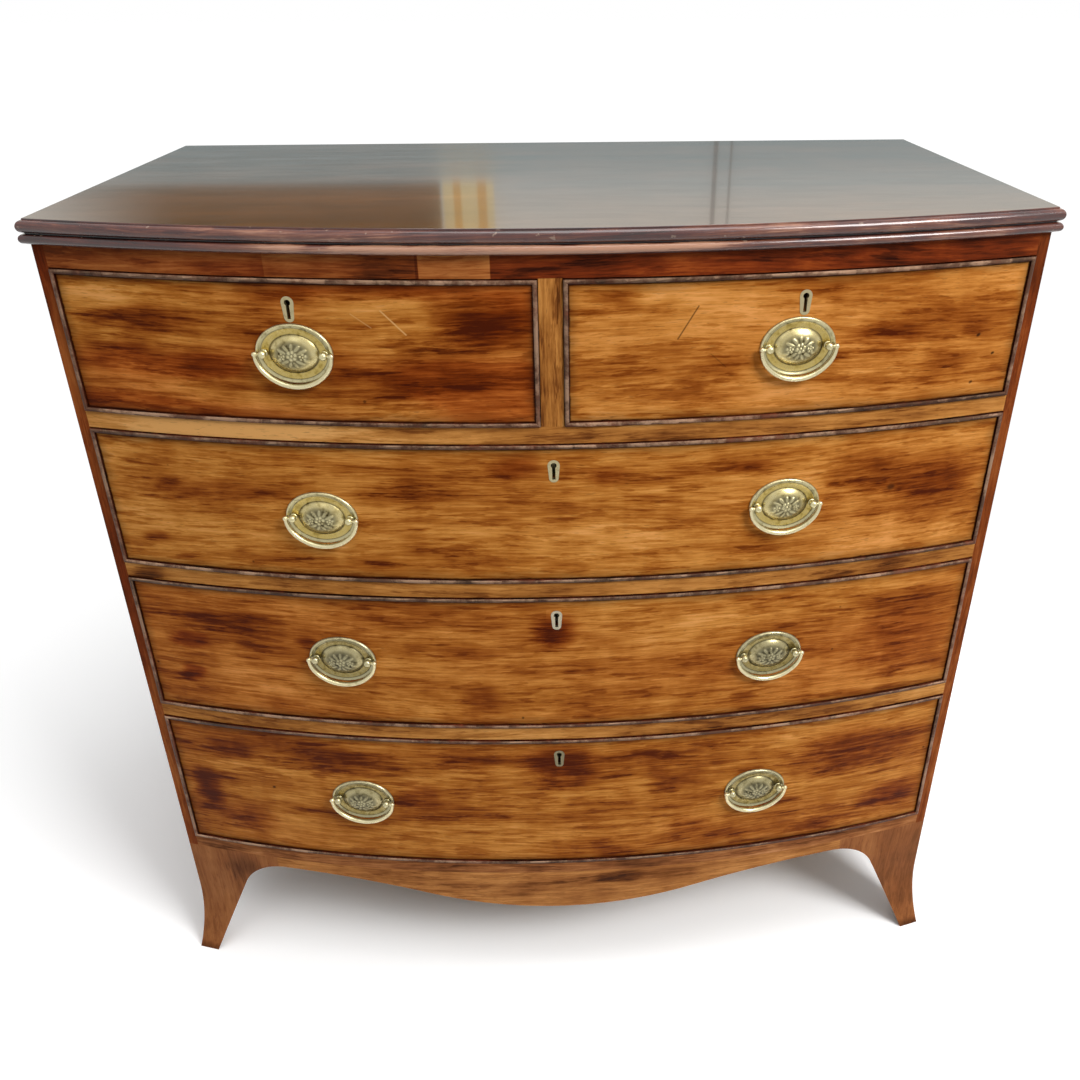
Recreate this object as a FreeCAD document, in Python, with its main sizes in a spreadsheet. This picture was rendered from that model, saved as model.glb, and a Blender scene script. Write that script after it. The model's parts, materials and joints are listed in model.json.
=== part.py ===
import FreeCAD, Part
import os
import re

import Sketcher
from FreeCAD import Placement, Rotation, Vector

# Bow-front chest of two short over three long drawers, in mahogany on a softwood carcase.
# Millimetres, +Z up, the bow faces -Y, the feet stand on z = 0 and the origin is under the
# middle of the chest. Every bowed face is struck from one vertical axis behind the chest.

# ---------------------------------------------------------------- driving dimensions
SIZES = {
    "case_width": (1050, "over the two side panels"),
    "case_depth": (465, "side panel, from the back to the front corner"),
    "bow_rise": (67, "how far the bow stands ahead of the corners"),
    "side_thick": (13, "side panel"),
    "top_thick": (26, "top board"),
    "top_over_front": (9, "top board past the bowed front"),
    "top_over_side": (8, "top board past the side panels"),
    "reed_upper": (12.5, "upper reed of the moulded edge, its height"),
    "reed_lower": (9, "lower reed of the moulded edge, its height"),
    "reed_quirk": (1.8, "groove between the reeds"),
    "reed_fillet": (1.7, "flat fillet above the upper reed"),
    "reed_step": (6, "depth of the groove and of the fillet"),
    "frieze_height": (24, "rail under the top board"),
    "row1_height": (160, "opening of the short drawers"),
    "row2_height": (177, "opening of the first long drawer"),
    "row3_height": (196, "opening of the second long drawer"),
    "row4_height": (220, "opening of the third long drawer"),
    "rail_thick": (20, "rails between the drawers"),
    "rail_depth": (60, "rails, front to back at the corner"),
    "bottom_thick": (20, "carcase bottom"),
    "back_thick": (10, "back boards"),
    "base_height": (202, "floor to the underside of the carcase bottom"),
    "divider_width": (24, "upright between the short drawers"),
    "partition_thick": (22, "board behind the upright, between the short drawers"),
    "runner_width": (22, "drawer runners and kickers"),
    "dust_thick": (8, "dust boards"),
    "rear_rail_depth": (40, "rear top rail"),
    "foot_thick": (20, "wood of the feet and aprons"),
    "foot_wing": (130, "feet, along the apron from the corner"),
    "toe_splay": (16, "how far a toe stands out of the case line"),
    "splay_height": (120, "height at which the splay starts"),
    "sole_width": (28, "front face of a foot on the floor"),
    "rear_bracket_thick": (18, "plain bracket at the back of a rear foot"),
    "arch_wood": (17, "wood over the crown of the arch beside a foot"),
    "arch_inset": (140, "crown of the arch, in from the case side"),
    "arch_radius": (70, "hollow of a foot"),
    "apron_drop": (51, "middle of the apron below the arches"),
    "apron_radius": (700, "belly of the apron"),
    "block_size": (30, "glue blocks"),
    "block_lift": (97, "foot of the corner glue blocks"),
    "block_length": (90, "glue blocks under the carcase bottom, along the grain"),
    "block_spacing": (200, "glue blocks behind the front apron, middle to middle"),
    "front_thick": (22, "drawer front"),
    "front_lap": (7, "wood left in front of the dovetails, and the depth of the cock beads"),
    "gap_side": (0.8, "drawer front to its opening, each side"),
    "gap_above": (1, "drawer front to the rail above"),
    "gap_below": (0.4, "drawer to the runners below"),
    "bead_width": (4.5, "cock bead, seen from the front"),
    "bead_proud": (3, "cock bead past the drawer face"),
    "drawer_side_thick": (10, "drawer side"),
    "drawer_side_drop": (4, "drawer side below the top of the front"),
    "drawer_back_thick": (9, "drawer back"),
    "drawer_back_drop": (8, "drawer back below the sides"),
    "drawer_bottom_thick": (7, "drawer bottom"),
    "drawer_bottom_lift": (8, "drawer bottom above the lower edge of the sides"),
    "groove_depth": (5, "groove for the drawer bottom"),
    "drawer_back_room": (14, "drawer back to the back boards"),
    "pin_root": (12, "dovetail pin at the inside of the front"),
    "pin_tip": (7, "dovetail pin at the lap"),
    "stop_height": (5, "drawer stops"),
    "stop_length": (44, "drawer stops, along the rail"),
    "stop_depth": (26, "drawer stops, front to back"),
    "stop_share": (0.2, "drawer stops, in from the ends of a drawer, share of its width"),
    "fit_gap": (0.3, "running gap between pieces that move"),
    "handle_offset": (258, "handles of the long drawers, from the middle"),
    "handle_shift": (7, "handle of the right short drawer, set nearer the divider"),
    "handle_sag": (5.5, "left handle of the first long drawer, set low"),
    "handle_slant": (3.6, "handles of the second long drawer, the left one high and the right one low"),
    "plate_width": (82, "oval plate"),
    "plate_height": (65, "oval plate"),
    "plate_sheet": (1.2, "flat of the oval plate"),
    "rim_width": (4, "rolled rim of the oval plate"),
    "rim_rise": (2.6, "rolled rim above the wood"),
    "boss_width": (48, "domed boss of the oval plate"),
    "boss_rise": (6, "domed boss above the wood"),
    "post_spread": (64, "between the two posts"),
    "post_radius": (2.5, "shank of a post"),
    "post_head_radius": (4.6, "ball head of a post"),
    "post_collar_radius": (4, "collar of a post"),
    "pivot_out": (6, "bail pivot in front of the drawer face"),
    "nut_radius": (5, "nut across its corners, half"),
    "nut_thick": (3, "nut"),
    "bail_width": (80.5, "bail, between the middles of its arms"),
    "bail_drop": (34.5, "bail, from the pivot to the middle of the grip"),
    "bail_rod_radius": (2.4, "bail rod"),
    "bail_knob_radius": (2.9, "little balls at the ends of the bail"),
    "bail_pin_radius": (1.4, "bail pins in the post heads"),
    "post_collar_thick": (1.5, "collar of a post"),
    "thread_height": (27, "keyhole thread"),
    "thread_head_radius": (6.6, "keyhole thread, upper end"),
    "thread_foot_radius": (5.2, "keyhole thread, lower end"),
    "thread_depth": (4, "keyhole thread, into the wood"),
    "thread_proud": (0.4, "keyhole thread past the wood"),
    "key_radius": (3.2, "round part of the keyhole"),
    "key_slot": (3.5, "slot of the keyhole"),
    "key_level": (32, "middle of the keyhole thread below the top of the front"),
    "key_shift": (3.5, "keyhole of the right short drawer, set nearer the divider"),
    "lock_width": (58, "lock case"),
    "lock_height": (48, "lock case"),
    "lock_depth": (10.5, "lock case"),
    "lock_wall": (1.5, "lock case"),
    "bolt_width": (14, "head of the bolt"),
    "bolt_shoulder": (26, "tail of the bolt"),
    "bolt_tail": (6, "tail of the bolt, its height"),
    "bolt_neck": (10, "head of the bolt, its height"),
    "bolt_travel": (7, "throw of the lock"),
}

# Sizes that follow from the driving ones.
DERIVED = {
    "bow_radius": "((case_width/2)^2 + bow_rise^2) / (2*bow_rise)",
    "back_y": "(case_depth + bow_rise + top_over_front) / 2",
    "corner_y": "back_y - case_depth",
    "axis_y": "corner_y - bow_rise + bow_radius",
    "case_half": "case_width/2",
    "reach": "case_width",
    "opening_half": "case_half - side_thick",
    "floor4": "base_height + bottom_thick",
    "ceiling4": "floor4 + row4_height",
    "floor3": "ceiling4 + rail_thick",
    "ceiling3": "floor3 + row3_height",
    "floor2": "ceiling3 + rail_thick",
    "ceiling2": "floor2 + row2_height",
    "floor1": "ceiling2 + rail_thick",
    "ceiling1": "floor1 + row1_height",
    "case_top": "ceiling1 + frieze_height",
    "rail_back": "corner_y + rail_depth",
    "back_front": "back_y - back_thick",
    "splay_radius": "(splay_height^2 + toe_splay^2) / (2*toe_splay)",
    "arch_x": "case_half - arch_inset",
    "arch_height": "base_height - arch_wood",
    "arch_centre": "arch_height - arch_radius",
    "ogee_radius": "(arch_x^2 + apron_drop^2) / (2*apron_drop) - apron_radius",
    "ogee_turn": "2*atan(apron_drop / arch_x)",
    "drawer_back_y": "back_front - drawer_back_room",
    "short_centre": "(divider_width/2 + opening_half) / 2",
    "key_head": "thread_height/2 - thread_head_radius",
    "key_foot": "thread_height/2 - thread_foot_radius",
    "bead_nose": "0.9 * bead_width",
    "bead_shoulder": "bead_proud - bead_nose + sqrt(bead_nose^2 - (bead_width/2)^2)",
    "bail_shoulder": "0.36 * bail_width",
    "bail_belly": "((bail_width/2 - bail_shoulder)^2 + bail_drop^2 - bail_shoulder^2)"
                  " / (2*(bail_drop - bail_shoulder))",
    "bail_turn": "atan((bail_width/2 - bail_shoulder) / (bail_belly - bail_drop))",
    "thread_slope": "asin((thread_head_radius - thread_foot_radius) / (key_head + key_foot))",
}

doc = FreeCAD.newDocument("BowFrontChest")
sheet = doc.addObject("Spreadsheet::Sheet", "Sizes")
for row, (alias, (value, note)) in enumerate(SIZES.items(), start=1):
    sheet.set(f"A{row}", alias)
    sheet.set(f"B{row}", str(value))
    sheet.set(f"C{row}", note)
    sheet.setAlias(f"B{row}", alias)
doc.recompute()


def linked(formula):
    """A formula with its size names pointed at the sheet and at the derived sizes."""
    def point(match):
        word = match.group(0)
        if word in SIZES:
            return "Sizes." + word
        return "Derived." + word if word in DERIVED else word
    return re.sub(r"[A-Za-z_]\w*", point, str(formula))


derived = doc.addObject("App::VarSet", "Derived")
for name, formula in DERIVED.items():
    derived.addProperty("App::PropertyFloat", name)
for name, formula in DERIVED.items():
    derived.setExpression(name, linked(formula))
doc.recompute()

scratch = doc.addObject("App::VarSet", "Scratch")
scratch.addProperty("App::PropertyFloat", "value")


def measure(formula):
    """The value that a formula has now."""
    scratch.setExpression("value", linked(formula))
    scratch.recompute()
    return scratch.value


# ---------------------------------------------------------------- drawing helpers
ABOUT_X, ABOUT_Y, ABOUT_Z = Vector(1, 0, 0), Vector(0, 1, 0), Vector(0, 0, 1)
NODES = []


def bind(thing, **formulas):
    for name, formula in formulas.items():
        thing.setExpression(name, linked(formula))
    return thing


def place(thing, x=0, y=0, z=0, turn=None, fixed=None):
    """Put a thing at formulas x, y, z, turned by a formula about Z or by a fixed rotation."""
    thing.Placement = Placement(Vector(), fixed or Rotation(ABOUT_Z, 0))
    for axis, formula in zip("xyz", (x, y, z)):
        thing.setExpression("Placement.Base." + axis, linked(formula))
    if turn is not None:
        thing.setExpression("Placement.Rotation.Angle", linked(turn))
    return thing


def box(name, x, y, z):
    """A board between the formulas (low, high) along each axis."""
    board = doc.addObject("Part::Box", name)
    for side, (low, high) in zip(("Length", "Width", "Height"), (x, y, z)):
        board.setExpression(side, linked(f"({high}) - ({low})"))
    return place(board, x[0], y[0], z[0])


def rod(name, radius, start, length, along=ABOUT_Z):
    """A round rod from a start point of formulas."""
    bar = bind(doc.addObject("Part::Cylinder", name), Radius=radius, Height=length)
    return place(bar, *start, fixed=Rotation(ABOUT_Z, along))


def ball(name, radius, centre):
    return place(bind(doc.addObject("Part::Sphere", name), Radius=radius), *centre)


def common(name, *shapes):
    whole = doc.addObject("Part::MultiCommon", name)
    whole.Shapes = list(shapes)
    return whole


def fuse(name, *shapes):
    whole = doc.addObject("Part::MultiFuse", name)
    whole.Shapes = list(shapes)
    return whole


def cut(name, base, *tools):
    for number, tool in enumerate(tools):
        step = doc.addObject("Part::Cut", f"{name}_cut{number}")
        step.Base, step.Tool = base, tool
        base = step
    return base


def group(name, *shapes):
    """Separate solids held together; the group can be placed again as often as needed."""
    bundle = doc.addObject("Part::Compound", name)
    bundle.Links = list(shapes)
    return bundle


def mirror(name, source):
    """The right-hand partner of a left-hand piece."""
    twin = doc.addObject("Part::Mirroring", name)
    twin.Source, twin.Normal, twin.Base = source, ABOUT_X, Vector()
    return twin


def node(label, thing):
    """Give a finished sub-part its own name."""
    thing.Label = label
    NODES.append(thing)


def bow(offset=0):
    """A drum about the bow's axis; offset 0 is the face of the case."""
    key = str(offset)
    if key not in bow.drums:
        drum = rod(f"drum{len(bow.drums)}", f"bow_radius + ({offset})", (0, "axis_y", "-reach"), "3*reach")
        bow.drums[key] = drum
    return bow.drums[key]


bow.drums = {}


def bow_y(x, offset=0):
    """Formula for y of the bowed face at x."""
    return f"(axis_y - sqrt((bow_radius + ({offset}))^2 - ({x})^2))"


def bowed_board(name, x, z, back, offset=0):
    """A board with a bowed front edge and a straight back edge."""
    return common(name, box(name + "_blank", x, ("-reach", back), z), bow(offset))


def plane_of(body, role):
    return next(p for p in body.Origin.OriginFeatures if p.Role == role)


def outline(body, name, plane, corners, arcs=None, lift=0):
    """A closed sketch through corners (u, v). arcs maps an edge's number to (radius, bulge),
    where bulge is +1 when the arc bows to the left of the way it is drawn, else -1."""
    arcs = arcs or {}
    drawing = body.newObject("Sketcher::SketchObject", name)
    drawing.AttachmentSupport = (plane_of(body, plane), [""])
    drawing.MapMode = "FlatFace"
    drawing.setExpression("AttachmentOffset.Base.z", linked(lift))
    points = [Vector(measure(u), measure(v), 0) for u, v in corners]
    ends = []
    for number, start in enumerate(points):
        finish = points[(number + 1) % len(points)]
        if number in arcs:
            radius, bulge = arcs[number]
            chord = finish - start
            half = chord.Length / 2
            size = max(measure(radius), half)
            sag = size - (size * size - half * half) ** 0.5
            side = Vector(-chord.y, chord.x, 0).normalize() * bulge
            middle = (start + finish) / 2 + side * sag
            edge = Part.Arc(start, middle, finish)
        else:
            edge = Part.LineSegment(start, finish)
        index = drawing.addGeometry(edge, False)
        forward = (drawing.getPoint(index, 1) - start).Length < 1e-6
        ends.append((index, 1 if forward else 2, 2 if forward else 1))
    for number, (u, v) in enumerate(corners):
        index, start, _ = ends[number]
        before, _, finish = ends[number - 1]
        drawing.addConstraint(Sketcher.Constraint("Coincident", before, finish, index, start))
        for kind, formula, value, line in (("DistanceX", u, points[number].x, -2),
                                           ("DistanceY", v, points[number].y, -1)):
            if str(formula) == "0":
                drawing.addConstraint(Sketcher.Constraint("PointOnObject", index, start, line))
                continue
            held = drawing.addConstraint(Sketcher.Constraint(kind, -1, 1, index, start, value))
            drawing.renameConstraint(held, f"{kind[-1].lower()}{number}")
            drawing.setExpression(f"Constraints.{kind[-1].lower()}{number}", linked(formula))
        if number in arcs:
            radius = arcs[number][0]
            held = drawing.addConstraint(Sketcher.Constraint("Radius", index, measure(radius)))
            drawing.renameConstraint(held, f"radius{number}")
            drawing.setExpression(f"Constraints.radius{number}", linked(radius))
    return drawing


def pad(body, name, drawing, length, midplane=False):
    block = body.newObject("PartDesign::Pad", name)
    block.Profile = drawing
    block.Midplane = midplane
    return bind(block, Length=length)


def extruded(name, plane, corners, length, arcs=None, lift=0, midplane=False):
    """A body of one sketch and one pad."""
    body = doc.addObject("PartDesign::Body", name)
    drawing = outline(body, name + "_sketch", plane, corners, arcs, lift)
    pad(body, name + "_pad", drawing, length, midplane)
    return body


def turned(name, corners, arcs=None, angle="360", midplane=False):
    """A body of one sketch on its XZ plane turned about its own Z axis."""
    body = doc.addObject("PartDesign::Body", name)
    drawing = outline(body, name + "_sketch", "XZ_Plane", corners, arcs)
    whole = body.newObject("PartDesign::Revolution", name + "_turn")
    whole.Profile = drawing
    whole.ReferenceAxis = (plane_of(body, "Z_Axis"), [""])
    whole.Midplane = midplane
    bind(whole, Angle=angle)
    return body


# ---------------------------------------------------------------- top board
ROUNDING = 0.46  # radius of a reed's two arrises, share of the reed's height


def top_board():
    """One board with two reeds run along its bowed front and its ends."""
    body = doc.addObject("PartDesign::Body", "top")
    lower = "top_thick - reed_fillet - reed_upper - reed_quirk - reed_lower"
    layers = (
        ("seat", 0, lower, "reed_step", 0),
        ("lower_reed", lower, "reed_lower", 0, "reed_lower"),
        ("quirk", f"{lower} + reed_lower", "reed_quirk", "reed_step", 0),
        ("upper_reed", f"{lower} + reed_lower + reed_quirk", "reed_upper", 0, "reed_upper"),
        ("fillet", "top_thick - reed_fillet", "reed_fillet", "reed_step", 0),
    )
    for name, start, height, inset, round_over in layers:
        half = f"(case_half + top_over_side - ({inset}))"
        offset = f"top_over_front - ({inset})"
        front = bow_y(half, offset)
        corners = [(f"-{half}", "back_y"), (f"-{half}", front), (half, front), (half, "back_y")]
        drawing = outline(body, "top_" + name, "XY_Plane", corners,
                          {1: (f"bow_radius + {offset}", -1)}, lift=start)
        layer = pad(body, "top_pad_" + name, drawing, height)
        if round_over:
            doc.recompute()
            level = (measure(start), measure(f"{start} + {height}"))
            edges = [f"Edge{number}" for number, edge in enumerate(layer.Shape.Edges, start=1)
                     if edge.BoundBox.ZLength < 1e-6
                     and min(abs(edge.BoundBox.ZMin - z) for z in level) < 1e-6
                     and edge.BoundBox.YMin < measure("back_y") - 1
                     and max(edge.BoundBox.XMax, -edge.BoundBox.XMin) > measure(half) - 1e-3]
            nosing = body.newObject("PartDesign::Fillet", "top_round_" + name)
            nosing.Base = (layer, edges)
            bind(nosing, Radius=f"{ROUNDING} * {round_over}")
    return place(body, 0, 0, "case_top")


node("top_board", top_board())

# ---------------------------------------------------------------- case
FULL_HEIGHT = ("base_height", "case_top")
left_side = bowed_board("left_side", ("-case_half", "-opening_half"), FULL_HEIGHT, "back_y")
node("left_side_panel", left_side)
node("right_side_panel", mirror("right_side", left_side))

ACROSS = ("-opening_half", "opening_half")


def bolt_mortise(name, x, level):
    """The slot over a lock that takes its bolt, in the piece above level."""
    half = "(bolt_width/2 + 2*fit_gap)"
    depth = ("front_thick - lock_depth + lock_wall", "front_thick - lock_wall")
    slot = box(name, (f"-{half}", half), depth, (0, "bolt_travel + 2*gap_above"))
    return stand(group(name + "_set", slot), x, level)


def stand(thing, x, level):
    """Place something drawn against a flat face (outside towards -Y) on the bow at x."""
    return place(thing, x, bow_y(x), level, turn=f"asin(({x}) / bow_radius)")


KEYS = {"1l": ("-short_centre", "ceiling1"), "1r": ("short_centre - key_shift", "ceiling1"),
        "2": ("0", "ceiling2"), "3": ("0", "ceiling3"), "4": ("0", "ceiling4")}
mortise = {row: bolt_mortise("mortise" + row, x, level) for row, (x, level) in KEYS.items()}

frieze = bowed_board("frieze", ACROSS, ("ceiling1", "case_top"), "rail_back")
node("frieze_rail", cut("frieze_rail", frieze, mortise["1l"], mortise["1r"]))
for label, low, high, row in (("upper", "ceiling2", "floor1", "2"), ("middle", "ceiling3", "floor2", "3"),
                              ("lower", "ceiling4", "floor3", "4")):
    rail = bowed_board(label + "_blade", ACROSS, (low, high), "rail_back")
    node(label + "_drawer_rail", cut(label + "_rail", rail, mortise[row]))

HALF_DIVIDER = ("-divider_width/2", "divider_width/2")
HALF_PARTITION = ("-partition_thick/2", "partition_thick/2")
node("short_drawer_divider", bowed_board("divider", HALF_DIVIDER, ("floor1", "ceiling1"), "rail_back"))
node("centre_partition",
     box("partition", HALF_PARTITION, ("rail_back", "back_front"), ("floor1", "ceiling1")))
node("carcase_bottom", bowed_board("bottom", ACROSS, ("base_height", "floor4"), "back_front"))

# Back boards lie level, edge to edge, between the sides.
BACK_COUNT = 5
board_height = f"(case_top - base_height) / {BACK_COUNT}"
node("back_boards", group("back", *[
    box(f"back{number}", ACROSS, ("back_front", "back_y"),
        (f"base_height + {number} * {board_height}",
         f"base_height + {number + 1} * {board_height}"))
    for number in range(BACK_COUNT)]))

node("rear_top_rail", box("rear_rail", ACROSS, ("back_front - rear_rail_depth", "back_front"),
                          ("ceiling1", "case_top")))

# Runners carry the drawer sides, level with the rails; kickers hold the short drawers down.
LEFT_EDGE = ("-opening_half", "-opening_half + runner_width")
RIGHT_EDGE = ("opening_half - runner_width", "opening_half")
MIDDLE = ("-runner_width - divider_width/2", "runner_width + divider_width/2")
RUN = ("rail_back", "back_front")
KICK = ("rail_back", "back_front - rear_rail_depth")
runners = []
for low, high in (("ceiling2", "floor1"), ("ceiling3", "floor2"), ("ceiling4", "floor3")):
    lanes = [LEFT_EDGE, RIGHT_EDGE] + ([MIDDLE] if high == "floor1" else [])
    runners += [box(f"runner_{high}_{number}", lane, RUN, (low, high)) for number, lane in enumerate(lanes)]
runners += [box(f"kicker_{number}", lane, KICK, ("ceiling1", "case_top"))
            for number, lane in enumerate((LEFT_EDGE, MIDDLE, RIGHT_EDGE))]
node("drawer_runners_and_kickers", group("runners", *runners))

# Dust boards fill the space between the runners.
dust = []
for low, high in (("ceiling2", "floor1"), ("ceiling3", "floor2"), ("ceiling4", "floor3")):
    level = (f"({low} + {high} - dust_thick) / 2", f"({low} + {high} + dust_thick) / 2")
    if high == "floor1":
        spans = [(LEFT_EDGE[1], MIDDLE[0]), (MIDDLE[1], RIGHT_EDGE[0])]
    else:
        spans = [(LEFT_EDGE[1], RIGHT_EDGE[0])]
    dust += [box(f"dust_{high}_{number}", span, RUN, level) for number, span in enumerate(spans)]
node("dust_boards", group("dust", *dust))

# ---------------------------------------------------------------- feet and aprons
# The base flares at its toes: its faces are the case faces carried down, then splayed on an arc.
SWEEP = "2*atan((case_half + 2*toe_splay) / (axis_y - back_y))"


def flare(face, sign=1):
    """Corners down a splayed face that stands at the formula face; sign gives its way out."""
    out = f"({face}) + {sign} * toe_splay"
    return [(face, "base_height"), (face, "splay_height"), (out, 0)]


def flared_ring(name, inner):
    """A ring about the bow's axis between the splayed bow and an inner face."""
    arcs = {1: ("splay_radius", 1), 3: ("splay_radius", -1)} if len(inner) == 3 else {1: ("splay_radius", 1)}
    body = turned(name, flare("-bow_radius", -1) + inner, arcs, SWEEP, midplane=True)
    # The sketch plane holds the axis and looks along X, so the ring lies ahead of the axis.
    return place(body, 0, "axis_y", 0, fixed=Rotation(ABOUT_Z, 90))


front_skirt = flared_ring("front_skirt", [("-bow_radius - toe_splay + foot_thick", 0),
                                          ("-bow_radius + foot_thick", "splay_height"),
                                          ("-bow_radius + foot_thick", "base_height")])
front_limit = flared_ring("front_limit", [("-bow_radius + bow_rise + 2*case_depth", 0),
                                          ("-bow_radius + bow_rise + 2*case_depth", "base_height")])
side_skirt = extruded("side_skirt", "XZ_Plane",
                      flare("-case_half", -1) + [("-case_half - toe_splay + foot_thick", 0),
                                                 ("-case_half + foot_thick", "splay_height"),
                                                 ("-case_half + foot_thick", "base_height")],
                      "2*reach", {1: ("splay_radius", 1), 3: ("splay_radius", -1)}, midplane=True)
width_limit = extruded("width_limit", "XZ_Plane",
                       flare("-case_half", -1) + [("case_half + toe_splay", 0),
                                                  ("case_half", "splay_height"),
                                                  ("case_half", "base_height")],
                       "2*reach", {1: ("splay_radius", 1), 3: ("splay_radius", 1)}, midplane=True)


def hollow(run):
    """Where the straight inner edge of a foot, run away from the crown, meets the arch."""
    span = f"sqrt(({run})^2 + arch_centre^2)"
    angle = f"(acos(arch_radius / {span}) - asin(arch_centre / {span}))"
    return f"arch_radius * cos({angle})", f"arch_centre + arch_radius * sin({angle})"


sole_inset = "(sole_width - toe_splay)"
across, up = hollow(f"arch_inset - {sole_inset}")
turn_x = "apron_radius * sin(ogee_turn)"
turn_z = "arch_height - apron_drop + apron_radius * (1 - cos(ogee_turn))"
sole_x = f"case_half - {sole_inset}"
right_edge = [(turn_x, turn_z), ("arch_x", "arch_height"), (f"arch_x + {across}", up),
              (sole_x, 0), (sole_x, "-block_size")]
left_edge = [(f"-({x})", z) for x, z in reversed(right_edge)]
front_opening = extruded("front_opening", "XZ_Plane", left_edge + right_edge, "2*reach",
                         {2: ("arch_radius", 1), 3: ("ogee_radius", 1), 4: ("apron_radius", -1),
                          5: ("ogee_radius", 1), 6: ("arch_radius", 1)}, midplane=True)

rear_across, rear_up = hollow("arch_inset - sole_width")
fore, aft = "(corner_y + arch_inset)", "(back_y - arch_inset)"
side_opening = extruded("side_opening", "YZ_Plane", [
    (f"corner_y + {sole_inset}", "-block_size"), (f"corner_y + {sole_inset}", 0), (f"{fore} - {across}", up),
    (fore, "arch_height"), (aft, "arch_height"), (f"{aft} + {rear_across}", rear_up),
    ("back_y - sole_width", 0), ("back_y - sole_width", "-block_size")], "2*reach",
    {2: ("arch_radius", 1), 4: ("arch_radius", 1)}, midplane=True)

UPRIGHT = ("-block_size", "base_height")
wing_x, wing_fore, wing_aft = "-case_half + foot_wing", "corner_y + foot_wing", "back_y - foot_wing"


def front_foot():
    """Bow-faced and side-faced halves, mitred into one splayed bracket foot."""
    corner = box("front_corner", ("-reach", wing_x), ("-reach", wing_fore), UPRIGHT)
    face = common("front_foot_face", front_skirt, width_limit, corner)
    flank = common("front_foot_flank", side_skirt, front_limit, corner)
    face = cut("front_foot_face", face, front_opening)
    flank = cut("front_foot_flank", flank, side_opening)
    return fuse("front_left", face, flank)


def rear_foot():
    """A splayed side half with a plain bracket across the back."""
    corner = box("rear_corner", ("-reach", wing_x), (wing_aft, "back_y"), UPRIGHT)
    flank = cut("rear_foot_flank", common("rear_foot_flank", side_skirt, corner), side_opening)
    plain = box("rear_bracket_blank", ("-reach", wing_x), ("back_y - rear_bracket_thick", "back_y"),
                (0, "base_height"))
    bracket = cut("rear_bracket", common("rear_bracket", plain, width_limit), front_opening)
    return fuse("rear_left", flank, bracket)


front_left, rear_left = front_foot(), rear_foot()
node("front_left_foot", front_left)
node("front_right_foot", mirror("front_right", front_left))
node("rear_left_foot", rear_left)
node("rear_right_foot", mirror("rear_right", rear_left))

apron_span = box("apron_span", (wing_x, f"-({wing_x})"), ("-reach", "corner_y + foot_thick"), UPRIGHT)
node("front_apron", cut("apron", common("apron", front_skirt, apron_span), front_opening))
side_span = box("side_span", ("-reach", 0), (wing_fore, wing_aft), UPRIGHT)
left_apron = cut("side_apron", common("side_apron", side_skirt, side_span), side_opening)
node("side_aprons", group("aprons", left_apron, mirror("right_apron", left_apron)))


def glue_blocks():
    """Softwood blocks rubbed into the corners of the feet and behind the apron."""
    inner = "-case_half + foot_thick"
    tall = ("block_lift", "base_height")
    across = (inner, f"{inner} + block_size")
    fore_blank = box("fore_blank", across, ("-reach", "corner_y + foot_thick + block_size"), tall)
    fore_block = common("fore_block", fore_blank, bow("-foot_thick"))
    aft = "back_y - rear_bracket_thick"
    aft_block = box("aft_block", across, (f"{aft} - block_size", aft), tall)
    low = ("base_height - block_size/2", "base_height")
    flank_block = box("flank_block", across, ("-block_length/2", "block_length/2"), low)
    bellies = []
    for number in (-1, 0, 1):
        x = f"{number} * block_spacing"
        span = (f"{x} - block_length/2", f"{x} + block_length/2")
        blank = box(f"belly_blank{number}", span, ("-reach", bow_y(x, "-foot_thick - block_size")), low)
        bellies.append(common(f"belly{number}", blank, bow("-foot_thick")))
    left = (fore_block, aft_block, flank_block)
    right = [mirror(block.Name + "_right", block) for block in left]
    return group("blocks", *left, *right, *bellies)


node("glue_blocks", glue_blocks())

# ---------------------------------------------------------------- handle, lock and bolt
# Each is drawn once against a flat face: outside towards -Y, the drawer's inside towards +Y.
SNUG = "fit_gap/6"  # room round a post in its plate and its nut


def oval_plate():
    """Stamped oval plate with a rolled rim, a dish and a domed boss, squeezed from a round."""
    edge, rim = "plate_width/2", "rim_width/2"
    dome = "boss_rise - plate_sheet"
    body = turned("plate_round", [
        (0, 0), (edge, 0), (edge, "plate_sheet"), (f"{edge} - {rim}", "rim_rise"),
        (f"{edge} - rim_width", "plate_sheet"), ("boss_width/2", "plate_sheet"), (0, "boss_rise")],
        {2: (f"1.1 * {rim}", -1), 3: (f"1.1 * {rim}", -1),
         5: (f"((boss_width/2)^2 + ({dome})^2) / (2 * ({dome}))", -1)})
    oval = doc.addObject("Part::Scale", "plate_oval")
    oval.Base, oval.Uniform = body, False
    bind(oval, YScale="plate_height / plate_width")
    oval.XScale = oval.ZScale = 1
    laid = place(group("plate_laid", oval), fixed=Rotation(ABOUT_X, 90))
    return cut("plate", laid, *[post_bore(f"plate_bore{side}", side, SNUG) for side in (-1, 1)])


def post_bore(name, side, slack):
    """The hole for a post; slack is the room round its shank."""
    return rod(name, f"post_radius + {slack}", (f"{side} * post_spread/2", "-pivot_out", 0),
               "pivot_out + front_thick + 2*nut_thick", ABOUT_Y)


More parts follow.
